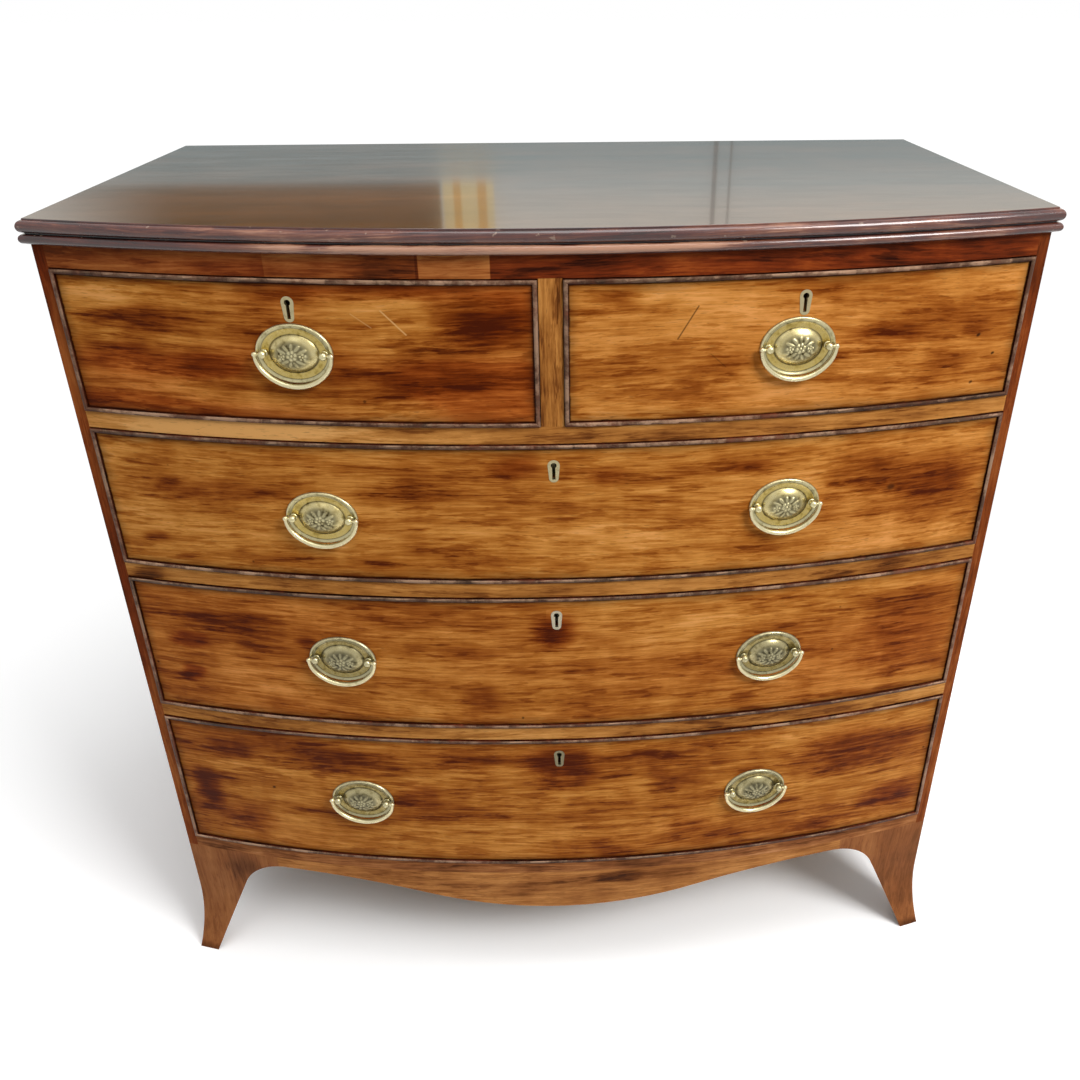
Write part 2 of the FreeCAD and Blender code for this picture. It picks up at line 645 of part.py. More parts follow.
def post(side):
    """Turned post: collar, neck and ball head outside, a shank through the drawer front."""
    x = f"{side} * post_spread/2"
    parts = [
        rod(f"shank{side}", "post_radius", (x, "-pivot_out", 0),
            "pivot_out + front_thick + 1.5*nut_thick", ABOUT_Y),
        rod(f"collar{side}", "post_collar_radius", (x, "-plate_sheet - post_collar_thick", 0),
            "post_collar_thick", ABOUT_Y),
        ball(f"head{side}", "post_head_radius", (x, "-pivot_out", 0)),
    ]
    eye = rod(f"eye{side}", "bail_pin_radius + fit_gap", (f"{side} * (post_spread/2 - 1)", "-pivot_out", 0),
              "2*post_head_radius", Vector(side, 0, 0))
    return cut(f"post{side}", fuse(f"post_whole{side}", *parts), eye)


def nut(side):
    blank = bind(doc.addObject("Part::Prism", f"nut_blank{side}"), Circumradius="nut_radius",
                 Height="nut_thick")
    blank.Polygon = 6
    place(blank, f"{side} * post_spread/2", "front_thick + fit_gap", 0, fixed=Rotation(ABOUT_Z, ABOUT_Y))
    return cut(f"nut{side}", blank, post_bore(f"nut_bore{side}", side, SNUG))


def bail():
    """Half-oval rod of three bends, drawn flat and then hung, with a ball and a pin at each end."""
    arm = "(bail_width/2 - bail_shoulder)"
    bends = (("left", f"-{arm}", 0, "bail_shoulder", 180, "90 - bail_turn"),
             ("middle", 0, "bail_belly - bail_drop", "bail_belly", "270 - bail_turn", "2*bail_turn"),
             ("right", arm, 0, "bail_shoulder", "270 + bail_turn", "90 - bail_turn"))
    pieces = []
    for name, x, y, radius, start, sweep in bends:
        bend = bind(doc.addObject("Part::Torus", "bail_" + name), Radius1=radius, Radius2="bail_rod_radius",
                    Angle3=sweep)
        pieces.append(place(bend, x, y, "pivot_out", turn=start))
    for side in (-1, 1):
        end = (f"{side} * bail_width/2", 0, "pivot_out")
        pieces.append(ball(f"bail_knob{side}", "bail_knob_radius", end))
        pieces.append(rod(f"bail_pin{side}", "bail_pin_radius", end, "(bail_width - post_spread)/2",
                          Vector(-side, 0, 0)))
    return place(group("bail_hung", fuse("bail", *pieces)), fixed=Rotation(ABOUT_X, 90))


def keyhole(name, start, length):
    """Round head and slot of the keyhole, as a core to cut with; z = 0 is its middle."""
    head = rod(name + "_head", "key_radius", (0, start, "key_head"), length, ABOUT_Y)
    finish = f"{start} + {length}"
    slot = box(name + "_slot", ("-key_slot/2", "key_slot/2"), (start, finish),
               ("-key_foot - key_slot/2", "key_head"))
    return fuse(name, head, slot)


def thread_blank(name, start, depth):
    """The long rounded outline of the keyhole thread."""
    big, small = "thread_head_radius", "thread_foot_radius"
    corners = [(f"{side} * {radius} * cos(thread_slope)", f"{centre} - {radius} * sin(thread_slope)")
               for side, radius, centre in ((1, big, "key_head"), (1, small, "-key_foot"),
                                            (-1, small, "-key_foot"), (-1, big, "key_head"))]
    corners.append((0, "thread_height/2"))
    body = extruded(name, "XZ_Plane", corners, depth, {1: (small, 1), 3: (big, 1), 4: (big, 1)})
    return place(body, 0, f"{start} + {depth}", 0)


def lock_hollow(name):
    half = "(lock_width/2 - 4*lock_wall)"
    return box(name, (f"-{half}", half),
               ("front_thick - lock_depth + lock_wall", "front_thick - lock_wall"),
               ("key_level - lock_height + lock_wall", "key_level - lock_wall"))


def lock_case():
    """Brass lock let in flush with the top and the inside of the drawer front."""
    blank = lock_blank("lock_blank", 0)
    slot = box("bolt_slot", ("-bolt_width/2 - fit_gap", "bolt_width/2 + fit_gap"),
               ("front_thick - lock_depth + lock_wall", "front_thick - lock_wall"),
               ("key_level - 2*lock_wall", "key_level + 1"))
    key = keyhole("lock_keyhole", "front_thick - lock_depth - 1", "lock_wall + 2")
    return cut("lock", blank, lock_hollow("lock_room"), slot, key)


def lock_blank(name, extra):
    return box(name, ("-lock_width/2", "lock_width/2"),
               ("front_thick - lock_depth", f"front_thick + {extra}"),
               ("key_level - lock_height", f"key_level + {extra}"))


def bolt():
    """Bolt of the lock: a wide tail inside the case, a head through the top plate."""
    depth = ("front_thick - lock_depth + lock_wall + fit_gap", "front_thick - lock_wall - fit_gap")
    shoulder = "key_level - bolt_neck"
    tail = box("bolt_tail_block", ("-bolt_shoulder/2", "bolt_shoulder/2"), depth,
               (f"{shoulder} - bolt_tail", shoulder))
    head = box("bolt_head", ("-bolt_width/2", "bolt_width/2"), depth, (shoulder, "key_level - fit_gap"))
    return fuse("bolt", tail, head)


plate_set = group("plate_set", oval_plate(), post(-1), post(1), nut(-1), nut(1))
bail_once = bail()
thread = cut("thread", thread_blank("thread_body", "-thread_proud", "thread_depth + thread_proud"),
             keyhole("thread_keyhole", "-2", "thread_depth + 4"))
lock_set = group("lock_set", lock_case(), thread)
bolt_once = bolt()
handle_core = group("handle_core", *[post_bore(f"core{side}", side, "fit_gap") for side in (-1, 1)])
lock_core = fuse("lock_core", lock_blank("lock_bed", 3), keyhole("wood_keyhole", "-5", "front_thick"),
                 thread_blank("thread_bed", "-5", "thread_depth + 5"))

# ---------------------------------------------------------------- drawers
bead_hoop = turned("bead_hoop", [
    ("-bow_radius + front_lap", 0), ("-bow_radius + front_lap", "bead_width"),
    ("-bow_radius - bead_shoulder", "bead_width"), ("-bow_radius - bead_shoulder", 0)],
    {2: ("bead_nose", -1)}, SWEEP, midplane=True)
place(bead_hoop, 0, 0, 0, fixed=Rotation(ABOUT_Z, 90))


def upright_bead(name, low, high):
    """A straight bead with a round nose, between two formulas of x, longer than any drawer."""
    corners = [(low, bow_y(low, "-front_lap")), (low, bow_y(low, "bead_shoulder")),
               (high, bow_y(high, "bead_shoulder")), (high, bow_y(high, "-front_lap"))]
    return extruded(name, "XY_Plane", corners, "case_top", {1: ("bead_nose", -1)})


def wedge(name, along, near, far, across, fixed, z=0):
    """A prism whose section narrows from near to far along its own Y axis."""
    piece = doc.addObject("Part::Wedge", name)
    bind(piece, Ymin=along[0], Ymax=along[1], Xmin=near[0], Xmax=near[1], X2min=far[0], X2max=far[1],
         Zmin=across[0], Zmax=across[1], Z2min=across[0], Z2max=across[1])
    return place(piece, 0, 0, z, fixed=fixed)


TAILS = {1: 3, 2: 4, 3: 4, 4: 5}  # dovetails in each drawer side, by row
MORE = 5  # lets a cutter run past the wood that it cuts


class Drawer:
    """One drawer: its front, cock beads, box, handles, lock and bolt."""

    def __init__(self, name, row, left, right, handles, key):
        self.name, self.row = name, row
        self.x = (f"({left} + gap_side)", f"({right} - gap_side)")
        self.z = (f"(floor{row} + gap_below)", f"(ceiling{row} - gap_above)")
        self.handles, self.key = handles, key

    def make(self):
        beads = self.cock_beads()
        bottom = self.bottom()
        sides = [self.side(-1, bottom), self.side(1, bottom)]
        keyhole_z = f"{self.z[1]} - key_level"
        middle = f"(floor{self.row} + ceiling{self.row}) / 2"
        handles = [(suffix, x, f"{middle} + {lift}") for suffix, x, lift in self.handles]
        holes = [stand(group(f"{self.name}_{suffix}_holes", handle_core), x, z) for suffix, x, z in handles]
        bed = stand(group(self.name + "_bed", lock_core), self.key, keyhole_z)
        front = cut(self.name + "_board", self.board(), *beads, *sides, bottom, *holes, bed)
        node(self.name + "_front", front)
        node(self.name + "_cock_beads", group(self.name + "_beads", *beads))
        node(self.name + "_box", group(self.name + "_case", *sides, self.back(), bottom))
        plates = [stand(group(f"{self.name}_{suffix}_plate", plate_set), x, z) for suffix, x, z in handles]
        node(self.name + "_handle_plates", group(self.name + "_plates", *plates))
        node(self.name + "_lock", stand(group(self.name + "_lock_set", lock_set), self.key, keyhole_z))
        node(self.name + "_lock_bolt", stand(group(self.name + "_bolt", bolt_once), self.key, keyhole_z))
        for suffix, x, z in handles:
            node(f"{self.name}_{suffix}", stand(group(f"{self.name}_{suffix}_set", bail_once), x, z))

    def board(self):
        blank = box(self.name + "_blank", self.x, ("-reach", "corner_y + 2*front_thick"), self.z)
        shell = common(self.name + "_shell", blank, bow())
        return cut(self.name + "_shell", shell, bow("-front_thick"))

    def cock_beads(self):
        """Four beads in a rebate round the front, mitred at the corners."""
        (low, high), (floor, ceiling) = self.x, self.z
        inner = (f"{low} + bead_width", f"{high} - bead_width")
        deep = (0, "reach")
        level = Rotation(ABOUT_X, 90)
        beads = []
        for edge, z, near, far in (("foot", floor, self.x, inner),
                                   ("head", f"{ceiling} - bead_width", inner, self.x)):
            mitre = wedge(f"{self.name}_{edge}_mitre", (0, "bead_width"), near, far, deep, level, z)
            hoop = place(group(f"{self.name}_{edge}_hoop", bead_hoop), 0, "axis_y", z)
            beads.append(common(f"{self.name}_{edge}_bead", hoop, mitre))
        rise = (floor, ceiling)
        short_rise = (f"{floor} + bead_width", f"{ceiling} - bead_width")
        for edge, span, near, far in (("left", (low, inner[0]), rise, short_rise),
                                      ("right", (inner[1], high), short_rise, rise)):
            stave = upright_bead(f"{self.name}_{edge}_stave", *span)
            upright = doc.addObject("Part::Wedge", f"{self.name}_{edge}_mitre")
            bind(upright, Ymin=span[0], Ymax=span[1], Xmin="-reach", Xmax="reach", X2min="-reach",
                 X2max="reach", Zmin=near[0], Zmax=near[1], Z2min=far[0], Z2max=far[1])
            place(upright, fixed=Rotation(ABOUT_Z, -90))
            tall = place(group(f"{self.name}_{edge}_tall", stave), 0, 0, "base_height")
            beads.append(common(f"{self.name}_{edge}_bead", tall, upright))
        return beads

    def bottom(self):
        """Thin bottom, held in grooves in the sides and the front."""
        slack = "(drawer_side_thick - groove_depth)"
        low = f"{self.z[0]} + drawer_bottom_lift"
        return bowed_board(self.name + "_bottom", (f"{self.x[0]} + {slack}", f"{self.x[1]} - {slack}"),
                           (low, f"{low} + drawer_bottom_thick"), "drawer_back_y",
                           "-front_thick + groove_depth")

    def side(self, hand, bottom):
        """Drawer side with tails that lock into the front."""
        low, high = self.x
        span = (low, f"{low} + drawer_side_thick") if hand < 0 else (f"{high} - drawer_side_thick", high)
        tag = f"{self.name}_{'left' if hand < 0 else 'right'}"
        crown = f"{self.z[1]} - bead_width - drawer_side_drop"
        board = bowed_board(tag + "_side", span, (self.z[0], crown), "drawer_back_y", "-front_lap")
        return cut(tag + "_side", board, *self.pins(tag, span, crown), bottom)

    def pins(self, tag, span, crown):
        """The wood that the front's dovetail pins fill, wider inside the drawer than at the lap."""
        tails = TAILS[self.row]
        inside, lap = bow_y(span[0], "-front_thick"), bow_y(span[0], "-front_lap")
        pins = []
        for number in range(tails + 1):
            z = f"({self.z[0]} + ({crown} - {self.z[0]}) * {number} / {tails})"
            pin = doc.addObject("Part::Wedge", f"{tag}_pin{number}")
            bind(pin, Ymin=f"-({inside}) - {MORE}", Ymax=f"-({lap}) + {MORE}",
                 Xmin="-reach", Xmax="reach", X2min="-reach", X2max="reach",
                 Zmin="-pin_root/2", Zmax="pin_root/2", Z2min="-pin_tip/2", Z2max="pin_tip/2")
            place(pin, 0, 0, z, fixed=Rotation(ABOUT_Z, 180))
            pins.append(cut(f"{tag}_pin{number}", pin, bow("-front_thick")))
        return pins

    def back(self):
        crown = f"{self.z[1]} - bead_width - drawer_side_drop - drawer_back_drop"
        return box(self.name + "_back",
                   (f"{self.x[0]} + drawer_side_thick", f"{self.x[1]} - drawer_side_thick"),
                   ("drawer_back_y - drawer_back_thick", "drawer_back_y"),
                   (f"{self.z[0]} + drawer_bottom_lift + drawer_bottom_thick", crown))


def pair(left_lift=0, right_lift=0):
    """The two handles of a long drawer; the lifts are from the middle of its opening."""
    return ("left_bail", "-handle_offset", left_lift), ("right_bail", "handle_offset", right_lift)


DRAWERS = (
    Drawer("short_left_drawer", 1, "-opening_half", "-divider_width/2",
           [("bail", "-short_centre", 0)], KEYS["1l"][0]),
    Drawer("short_right_drawer", 1, "divider_width/2", "opening_half",
           [("bail", "short_centre - handle_shift", 0)], KEYS["1r"][0]),
    Drawer("upper_long_drawer", 2, "-opening_half", "opening_half",
           pair(left_lift="-handle_sag"), KEYS["2"][0]),
    Drawer("middle_long_drawer", 3, "-opening_half", "opening_half",
           pair("handle_slant", "-handle_slant"), KEYS["3"][0]),
    Drawer("lower_long_drawer", 4, "-opening_half", "opening_half", pair(), KEYS["4"][0]),
)
for drawer in DRAWERS:
    drawer.make()

# Stops on the rails catch the back of each front, two to a drawer.
stops = []
for drawer in DRAWERS:
    for share in ("stop_share", "(1 - stop_share)"):
        x = f"({drawer.x[0]} + ({drawer.x[1]} - {drawer.x[0]}) * {share})"
        tag = f"{drawer.name}_stop{len(stops)}"
        face = "-front_thick - fit_gap"
        blank = box(tag, (f"{x} - stop_length/2", f"{x} + stop_length/2"),
                    ("-reach", f"{bow_y(x, face)} + stop_depth"),
                    (f"floor{drawer.row}", f"floor{drawer.row} + stop_height"))
        stops.append(common(tag + "_trim", blank, bow(face)))
node("drawer_stops", group("stops", *stops))

# ---------------------------------------------------------------- build and write
doc.recompute()
for thing in doc.Objects:
    if "Invalid" in thing.State or "Error" in thing.State:
        raise RuntimeError(f"{thing.Name} is {thing.State}")
os.makedirs("parts", exist_ok=True)
for part in NODES:
    shape = part.Shape
    if shape.isNull() or not shape.isValid() or not shape.Solids:
        raise RuntimeError(f"{part.Label} has no valid solid")
    shape.exportStep(f"parts/{part.Label}.step")
print(len(NODES), "sub-parts,", sum(len(part.Shape.Solids) for part in NODES), "solids")
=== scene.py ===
import json
import math

import bpy
import numpy as np
from mathutils import Matrix, Vector, noise

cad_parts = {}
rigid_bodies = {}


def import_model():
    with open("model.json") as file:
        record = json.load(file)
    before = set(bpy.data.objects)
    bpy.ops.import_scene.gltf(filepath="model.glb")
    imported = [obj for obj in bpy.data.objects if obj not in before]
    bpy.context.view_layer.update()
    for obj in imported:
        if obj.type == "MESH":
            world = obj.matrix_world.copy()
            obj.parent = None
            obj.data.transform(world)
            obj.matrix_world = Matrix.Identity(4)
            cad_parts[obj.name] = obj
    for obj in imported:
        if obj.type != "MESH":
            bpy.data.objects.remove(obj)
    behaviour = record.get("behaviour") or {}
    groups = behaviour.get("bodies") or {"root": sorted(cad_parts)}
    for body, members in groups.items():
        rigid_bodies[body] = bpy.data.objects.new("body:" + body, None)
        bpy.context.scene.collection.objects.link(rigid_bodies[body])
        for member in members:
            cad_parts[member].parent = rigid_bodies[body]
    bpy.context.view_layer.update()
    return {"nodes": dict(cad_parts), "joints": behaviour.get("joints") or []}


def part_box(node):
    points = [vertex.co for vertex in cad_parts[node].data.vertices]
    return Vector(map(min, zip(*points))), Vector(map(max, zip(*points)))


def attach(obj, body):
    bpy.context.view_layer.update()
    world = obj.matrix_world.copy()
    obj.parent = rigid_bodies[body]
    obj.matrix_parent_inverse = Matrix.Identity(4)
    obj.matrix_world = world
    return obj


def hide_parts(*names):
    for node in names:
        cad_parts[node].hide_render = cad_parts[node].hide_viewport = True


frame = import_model()

# ---------------------------------------------------------------- camera
# A level-headed view from a little left of the middle, at the height of a standing eye.
# Its direction is built from a turn, a downward tilt and a slight roll.
EYE = (0.0032, -1.1403, 1.2918)
TURN, TILT, ROLL = math.radians(1.851), math.radians(25.724), math.radians(-0.224)

ahead = Vector((math.sin(TURN) * math.cos(TILT), math.cos(TURN) * math.cos(TILT), -math.sin(TILT)))
level = Vector((math.cos(TURN), -math.sin(TURN), 0))
upward = level.cross(ahead)
right = math.cos(ROLL) * level + math.sin(ROLL) * upward
over = math.cos(ROLL) * upward - math.sin(ROLL) * level
camera = bpy.data.objects.new("camera", bpy.data.cameras.new("camera"))
bpy.context.scene.collection.objects.link(camera)
camera.matrix_world = Matrix.Translation(EYE) @ Matrix((right, over, -ahead)).transposed().to_4x4()
camera.data.sensor_width = 36
camera.data.lens = 30.857
camera.data.shift_x = -0.0398
camera.data.shift_y = -0.1
bpy.context.scene.camera = camera
bpy.context.scene.view_settings.view_transform = "Standard"


# ---------------------------------------------------------------- floor, walls of light and lamps
# A white studio floor under a sky that is brighter overhead, with a soft lamp on each side.
# A glowing painted card stands behind the chest, hidden from the camera and giving the chest no light. It is a
# painted reflection of a window and room, seen only in the polish, chiefly the top's.
class Wire:
    """One socket of a material. Sums on it add Math nodes, and add() adds any other node."""

    def __init__(self, tree, end=None):
        self.tree = tree
        self.end = end

    def add(self, kind, settings=None, ends=None, out=0):
        """A node with its settings, then the values or wires of its sockets."""
        made = self.tree.nodes.new(kind)
        for name, value in (settings or {}).items():
            if name == "stops":
                ramp = made.color_ramp.elements
                ramp.remove(ramp[1])
                ramp[0].position, ramp[0].color = value[0]
                for at, colour in value[1:]:
                    ramp.new(at).color = colour
            else:
                setattr(made, name, value)
        for name, value in (ends or {}).items():
            if isinstance(value, Wire):
                self.tree.links.new(value.end, made.inputs[name])
            else:
                made.inputs[name].default_value = value
        return Wire(self.tree, made.outputs[out] if made.outputs else None)

    def also(self, out):
        """Another output of the same node."""
        return Wire(self.tree, self.end.node.outputs[out])

    def feed(self, ends):
        """Lead wires into this socket's own node."""
        for name, wire in ends.items():
            self.tree.links.new(wire.end, self.end.node.inputs[name])

    def sum(self, operation, first, second):
        return self.add("ShaderNodeMath", {"operation": operation}, {0: first, 1: second})

    def __add__(self, other):
        return self.sum("ADD", self, other)

    def __sub__(self, other):
        return self.sum("SUBTRACT", self, other)

    def __rsub__(self, other):
        return self.sum("SUBTRACT", other, self)

    def __mul__(self, other):
        return self.sum("MULTIPLY", self, other)

    def __truediv__(self, other):
        return self.sum("DIVIDE", self, other)

    def __pow__(self, other):
        return self.sum("POWER", self, other)

    def __abs__(self):
        return self.sum("ABSOLUTE", self, 0)

    __radd__ = __add__
    __rmul__ = __mul__


def paint(code):
    """A colour from its six-figure screen code."""
    shares = [int(code[i:i + 2], 16) / 255 for i in (0, 2, 4)]
    return [s / 12.92 if s <= 0.04045 else ((s + 0.055) / 1.055) ** 2.4 for s in shares] + [1]


def steep(value, low, high):
    """0 below low, 1 above high, and a soft step between them."""
    return value.add("ShaderNodeMapRange", {"interpolation_type": "SMOOTHSTEP"},
                     {"Value": value, "From Min": low, "From Max": high})


def stripe(value, low, high, soft=0.0006):
    """1 between two places, with a nearly sharp edge."""
    return steep(value, low - soft, low + soft) * (1 - steep(value, high - soft, high + soft))


def blend(base, over_it, share, kind="MIX"):
    return share.add("ShaderNodeMix", {"data_type": "RGBA", "blend_type": kind},
                     {0: share, 6: base, 7: over_it}, out=2)


def graded(value, codes):
    """Colours along a value from 0 to 1, in even steps."""
    stops = [(i / (len(codes) - 1), paint(code)) for i, code in enumerate(codes)]
    return value.add("ShaderNodeValToRGB", {"stops": stops}, {0: value})


def new_finish(name, plain=None, shader="ShaderNodeBsdfPrincipled"):
    """An empty material and the wire of its one shader, with the plain values set on it."""
    material = bpy.data.materials.new(name)
    material.use_nodes = True
    material.node_tree.nodes.clear()
    surface = Wire(material.node_tree).add(shader, ends=plain)
    surface.add("ShaderNodeOutputMaterial", ends={"Surface": surface})
    return material, surface


def in_view(wire):
    """1 for what the camera, the metal and the polish see, and 0 for what only lights the chest."""
    path = wire.add("ShaderNodeLightPath", out="Is Camera Ray")
    either = path.sum("MAXIMUM", path, path.also("Is Glossy Ray"))
    return path.sum("MAXIMUM", either, path.also("Is Transmission Ray"))


HORIZON, ZENITH = 0.03, 1.03
FLOOR_SHOWN, FLOOR_LIT = 1.10, 0.38  # how white the floor looks, and how white it is to the light

world = bpy.data.worlds.new("surround")
bpy.context.scene.world = world
world.use_nodes = True
world.node_tree.nodes.clear()
start = Wire(world.node_tree)
rise = start.add("ShaderNodeSeparateXYZ", ends={0: start.add("ShaderNodeTexCoord", out="Generated")}).also("Z")
lift = rise.sum("MAXIMUM", rise, 0) ** 1.7 * (ZENITH - HORIZON) + HORIZON
sky = start.add("ShaderNodeBackground", ends={"Color": (1, 1, 1, 1), "Strength": lift})
backdrop = start.add("ShaderNodeBackground", ends={"Color": (1, 1, 1, 1), "Strength": 1.0})
start.add("ShaderNodeOutputWorld",
          ends={"Surface": start.add("ShaderNodeMixShader", ends={0: in_view(start), 1: sky, 2: backdrop})})


def stage_plane(name, corners, material):
    """A flat four-cornered sheet of the studio."""
    mesh = bpy.data.meshes.new(name)
    mesh.from_pydata(corners, [], [(0, 1, 2, 3)])
    mesh.materials.append(material)
    sheet = bpy.data.objects.new(name, mesh)
    bpy.context.scene.collection.objects.link(sheet)
    return sheet


floor_white, floor_coat = new_finish("floor_white", {"Color": [FLOOR_LIT] * 3 + [1]}, "ShaderNodeBsdfDiffuse")
floor_shown = floor_coat.add("ShaderNodeBsdfDiffuse", ends={"Color": [FLOOR_SHOWN] * 3 + [1]})
floor_far = floor_coat.add("ShaderNodeEmission", ends={"Strength": 1.05})
floor_at = floor_coat.add("ShaderNodeTexCoord", out="Object")
floor_reach = floor_coat.add("ShaderNodeVectorMath", {"operation": "LENGTH"}, {0: floor_at}, out="Value")
beyond = steep(floor_reach, 0.75, 1.5)
floor_shown = floor_coat.add("ShaderNodeMixShader", ends={0: beyond, 1: floor_shown, 2: floor_far})
floor_mix = floor_coat.add("ShaderNodeMixShader", ends={0: in_view(floor_coat), 1: floor_coat, 2: floor_shown})
floor_white.node_tree.links.new(floor_mix.end, floor_white.node_tree.get_output_node("ALL").inputs["Surface"])
stage_plane("floor", [(-40, -40, 0), (40, -40, 0), (40, 40, 0), (-40, 40, 0)], floor_white)

# The card glows with a painted reflection: a grey-blue to pale gradient, a warm brown band, a pale yellow pane
# with orange bars, and the dark lines of a window frame.
reflection_card_paint, card_light = new_finish("reflection_card_paint", {"Strength": 1.0}, "ShaderNodeEmission")
card_at = card_light.add("ShaderNodeTexCoord", out="Object")
card_x = card_light.add("ShaderNodeSeparateXYZ", ends={0: card_at})
card_z = card_x.also("Z")
grey = graded(steep(card_z, 1.30, 1.66), ("98a8aa", "a9b9ba", "c9d5d4", "e6e6dd", "fff8ea"))
warm = steep(card_z, 1.455, 1.475) * (1 - steep(card_x, -0.375, -0.36)) * steep(card_x, -1.9, -1.2)
grey = blend(grey, paint("80603a"), warm)
pale = steep(card_z, 1.455, 1.475) * stripe(card_x, -0.36, -0.19, 0.006)
bars = stripe(card_x, -0.325, -0.30, 0.004) + stripe(card_x, -0.245, -0.215, 0.004)
grey = blend(blend(grey, paint("ffe9b0"), pale), paint("f0b45a"), pale * bars)
lines = stripe(card_x, 0.54, 0.555, 0.003) + stripe(card_x, 0.595, 0.603, 0.003)
card_light.feed({"Color": blend(grey, paint("6a6e6c"), lines * 0.8)})
card = stage_plane("painted_reflection_card", [(-3, 2, 0.9), (3, 2, 0.9), (3, 2, 2.3), (-3, 2, 2.3)], reflection_card_paint)
card.visible_camera = card.visible_diffuse = card.visible_shadow = card.visible_transmission = False


def lamp(name, place, aim, size, power, colour=(1, 1, 1)):
    """A square soft lamp aimed at a point."""
    light = bpy.data.lights.new(name, "AREA")
    light.shape = "SQUARE"
    light.size, light.energy, light.color = size, power, colour
    holder = bpy.data.objects.new(name, light)
    bpy.context.scene.collection.objects.link(holder)
    holder.location = place
    holder.rotation_euler = (Vector(aim) - Vector(place)).to_track_quat("-Z", "Y").to_euler()
    return holder


lamp("key_lamp", (2.5, -2.2, 3.5), (0, 0, 0.5), 1.5, 140)
lamp("fill_lamp", (-1.4, -2.6, 3.5), (0, 0, 0.5), 1.8, 7)
lamp("top_lamp", (0.3, -0.4, 3.6), (0, 0, 0.5), 1.8, 40)


# ---------------------------------------------------------------- top board
# One wide board of dark mahogany, french polished until it mirrors the room; that room is a painted reflection on
# the card behind.
# Its front and ends are worked with two reeds. Thin dark lines of painted shade run in the quirk between them and
# below the lower reed, and the lower reed has a paler band along its middle, partly wear and partly a painted
# highlight.
def cloud(place, stretch, seed=0.0, detail=3.0, rough=0.55, twist=0.0):
    """Cloudy noise, repeating about so many times a metre along X, Y and Z."""
    laid = place.add("ShaderNodeVectorMath", {"operation": "MULTIPLY_ADD"},
                     {0: place, 1: stretch, 2: (seed, 1.7 * seed, 3.1 * seed)})
    return laid.add("ShaderNodeTexNoise", None, {"Vector": laid, "Scale": 1.0, "Detail": detail,
                                                 "Roughness": rough, "Distortion": twist})


def patch(x, z, centre, half):
    """1 in the middle of an oval patch, fading to 0 at its rim."""
    u, v = (x - centre[0]) / half[0], (z - centre[1]) / half[1]
    return 1 - steep((u * u + v * v) ** 0.5, 0.2, 1.1)


def scratch(x, z, first, last, width):
    """1 on a straight scratch, fading to 0 beside it."""
    run = (last[0] - first[0], last[1] - first[1])
    square = run[0] ** 2 + run[1] ** 2
    share = (x - first[0]) * (run[0] / square) + (z - first[1]) * (run[1] / square)
    share = share.add("ShaderNodeClamp", ends={0: share})
    u, v = x - first[0] - share * run[0], z - first[1] - share * run[1]
    return 1 - steep((u * u + v * v) ** 0.5, width * 0.2, width)


BOW_RADIUS = (0.525 ** 2 + 0.067 ** 2) / (2 * 0.067)
BOW_AXIS_Y = BOW_RADIUS - 0.2615


def bow_spoke(place):
    """The level line from the axis of the bow to a place."""
    return place.add("ShaderNodeVectorMath", {"operation": "MULTIPLY_ADD"},
                     {0: place, 1: (1, 1, 0), 2: (0, -BOW_AXIS_Y, 0)})


def past_bow(place):
    """How far a place stands in front of the bowed face of the case, in metres."""
    spoke = bow_spoke(place)
    return spoke.add("ShaderNodeVectorMath", {"operation": "LENGTH"}, {0: spoke}, out="Value") - BOW_RADIUS


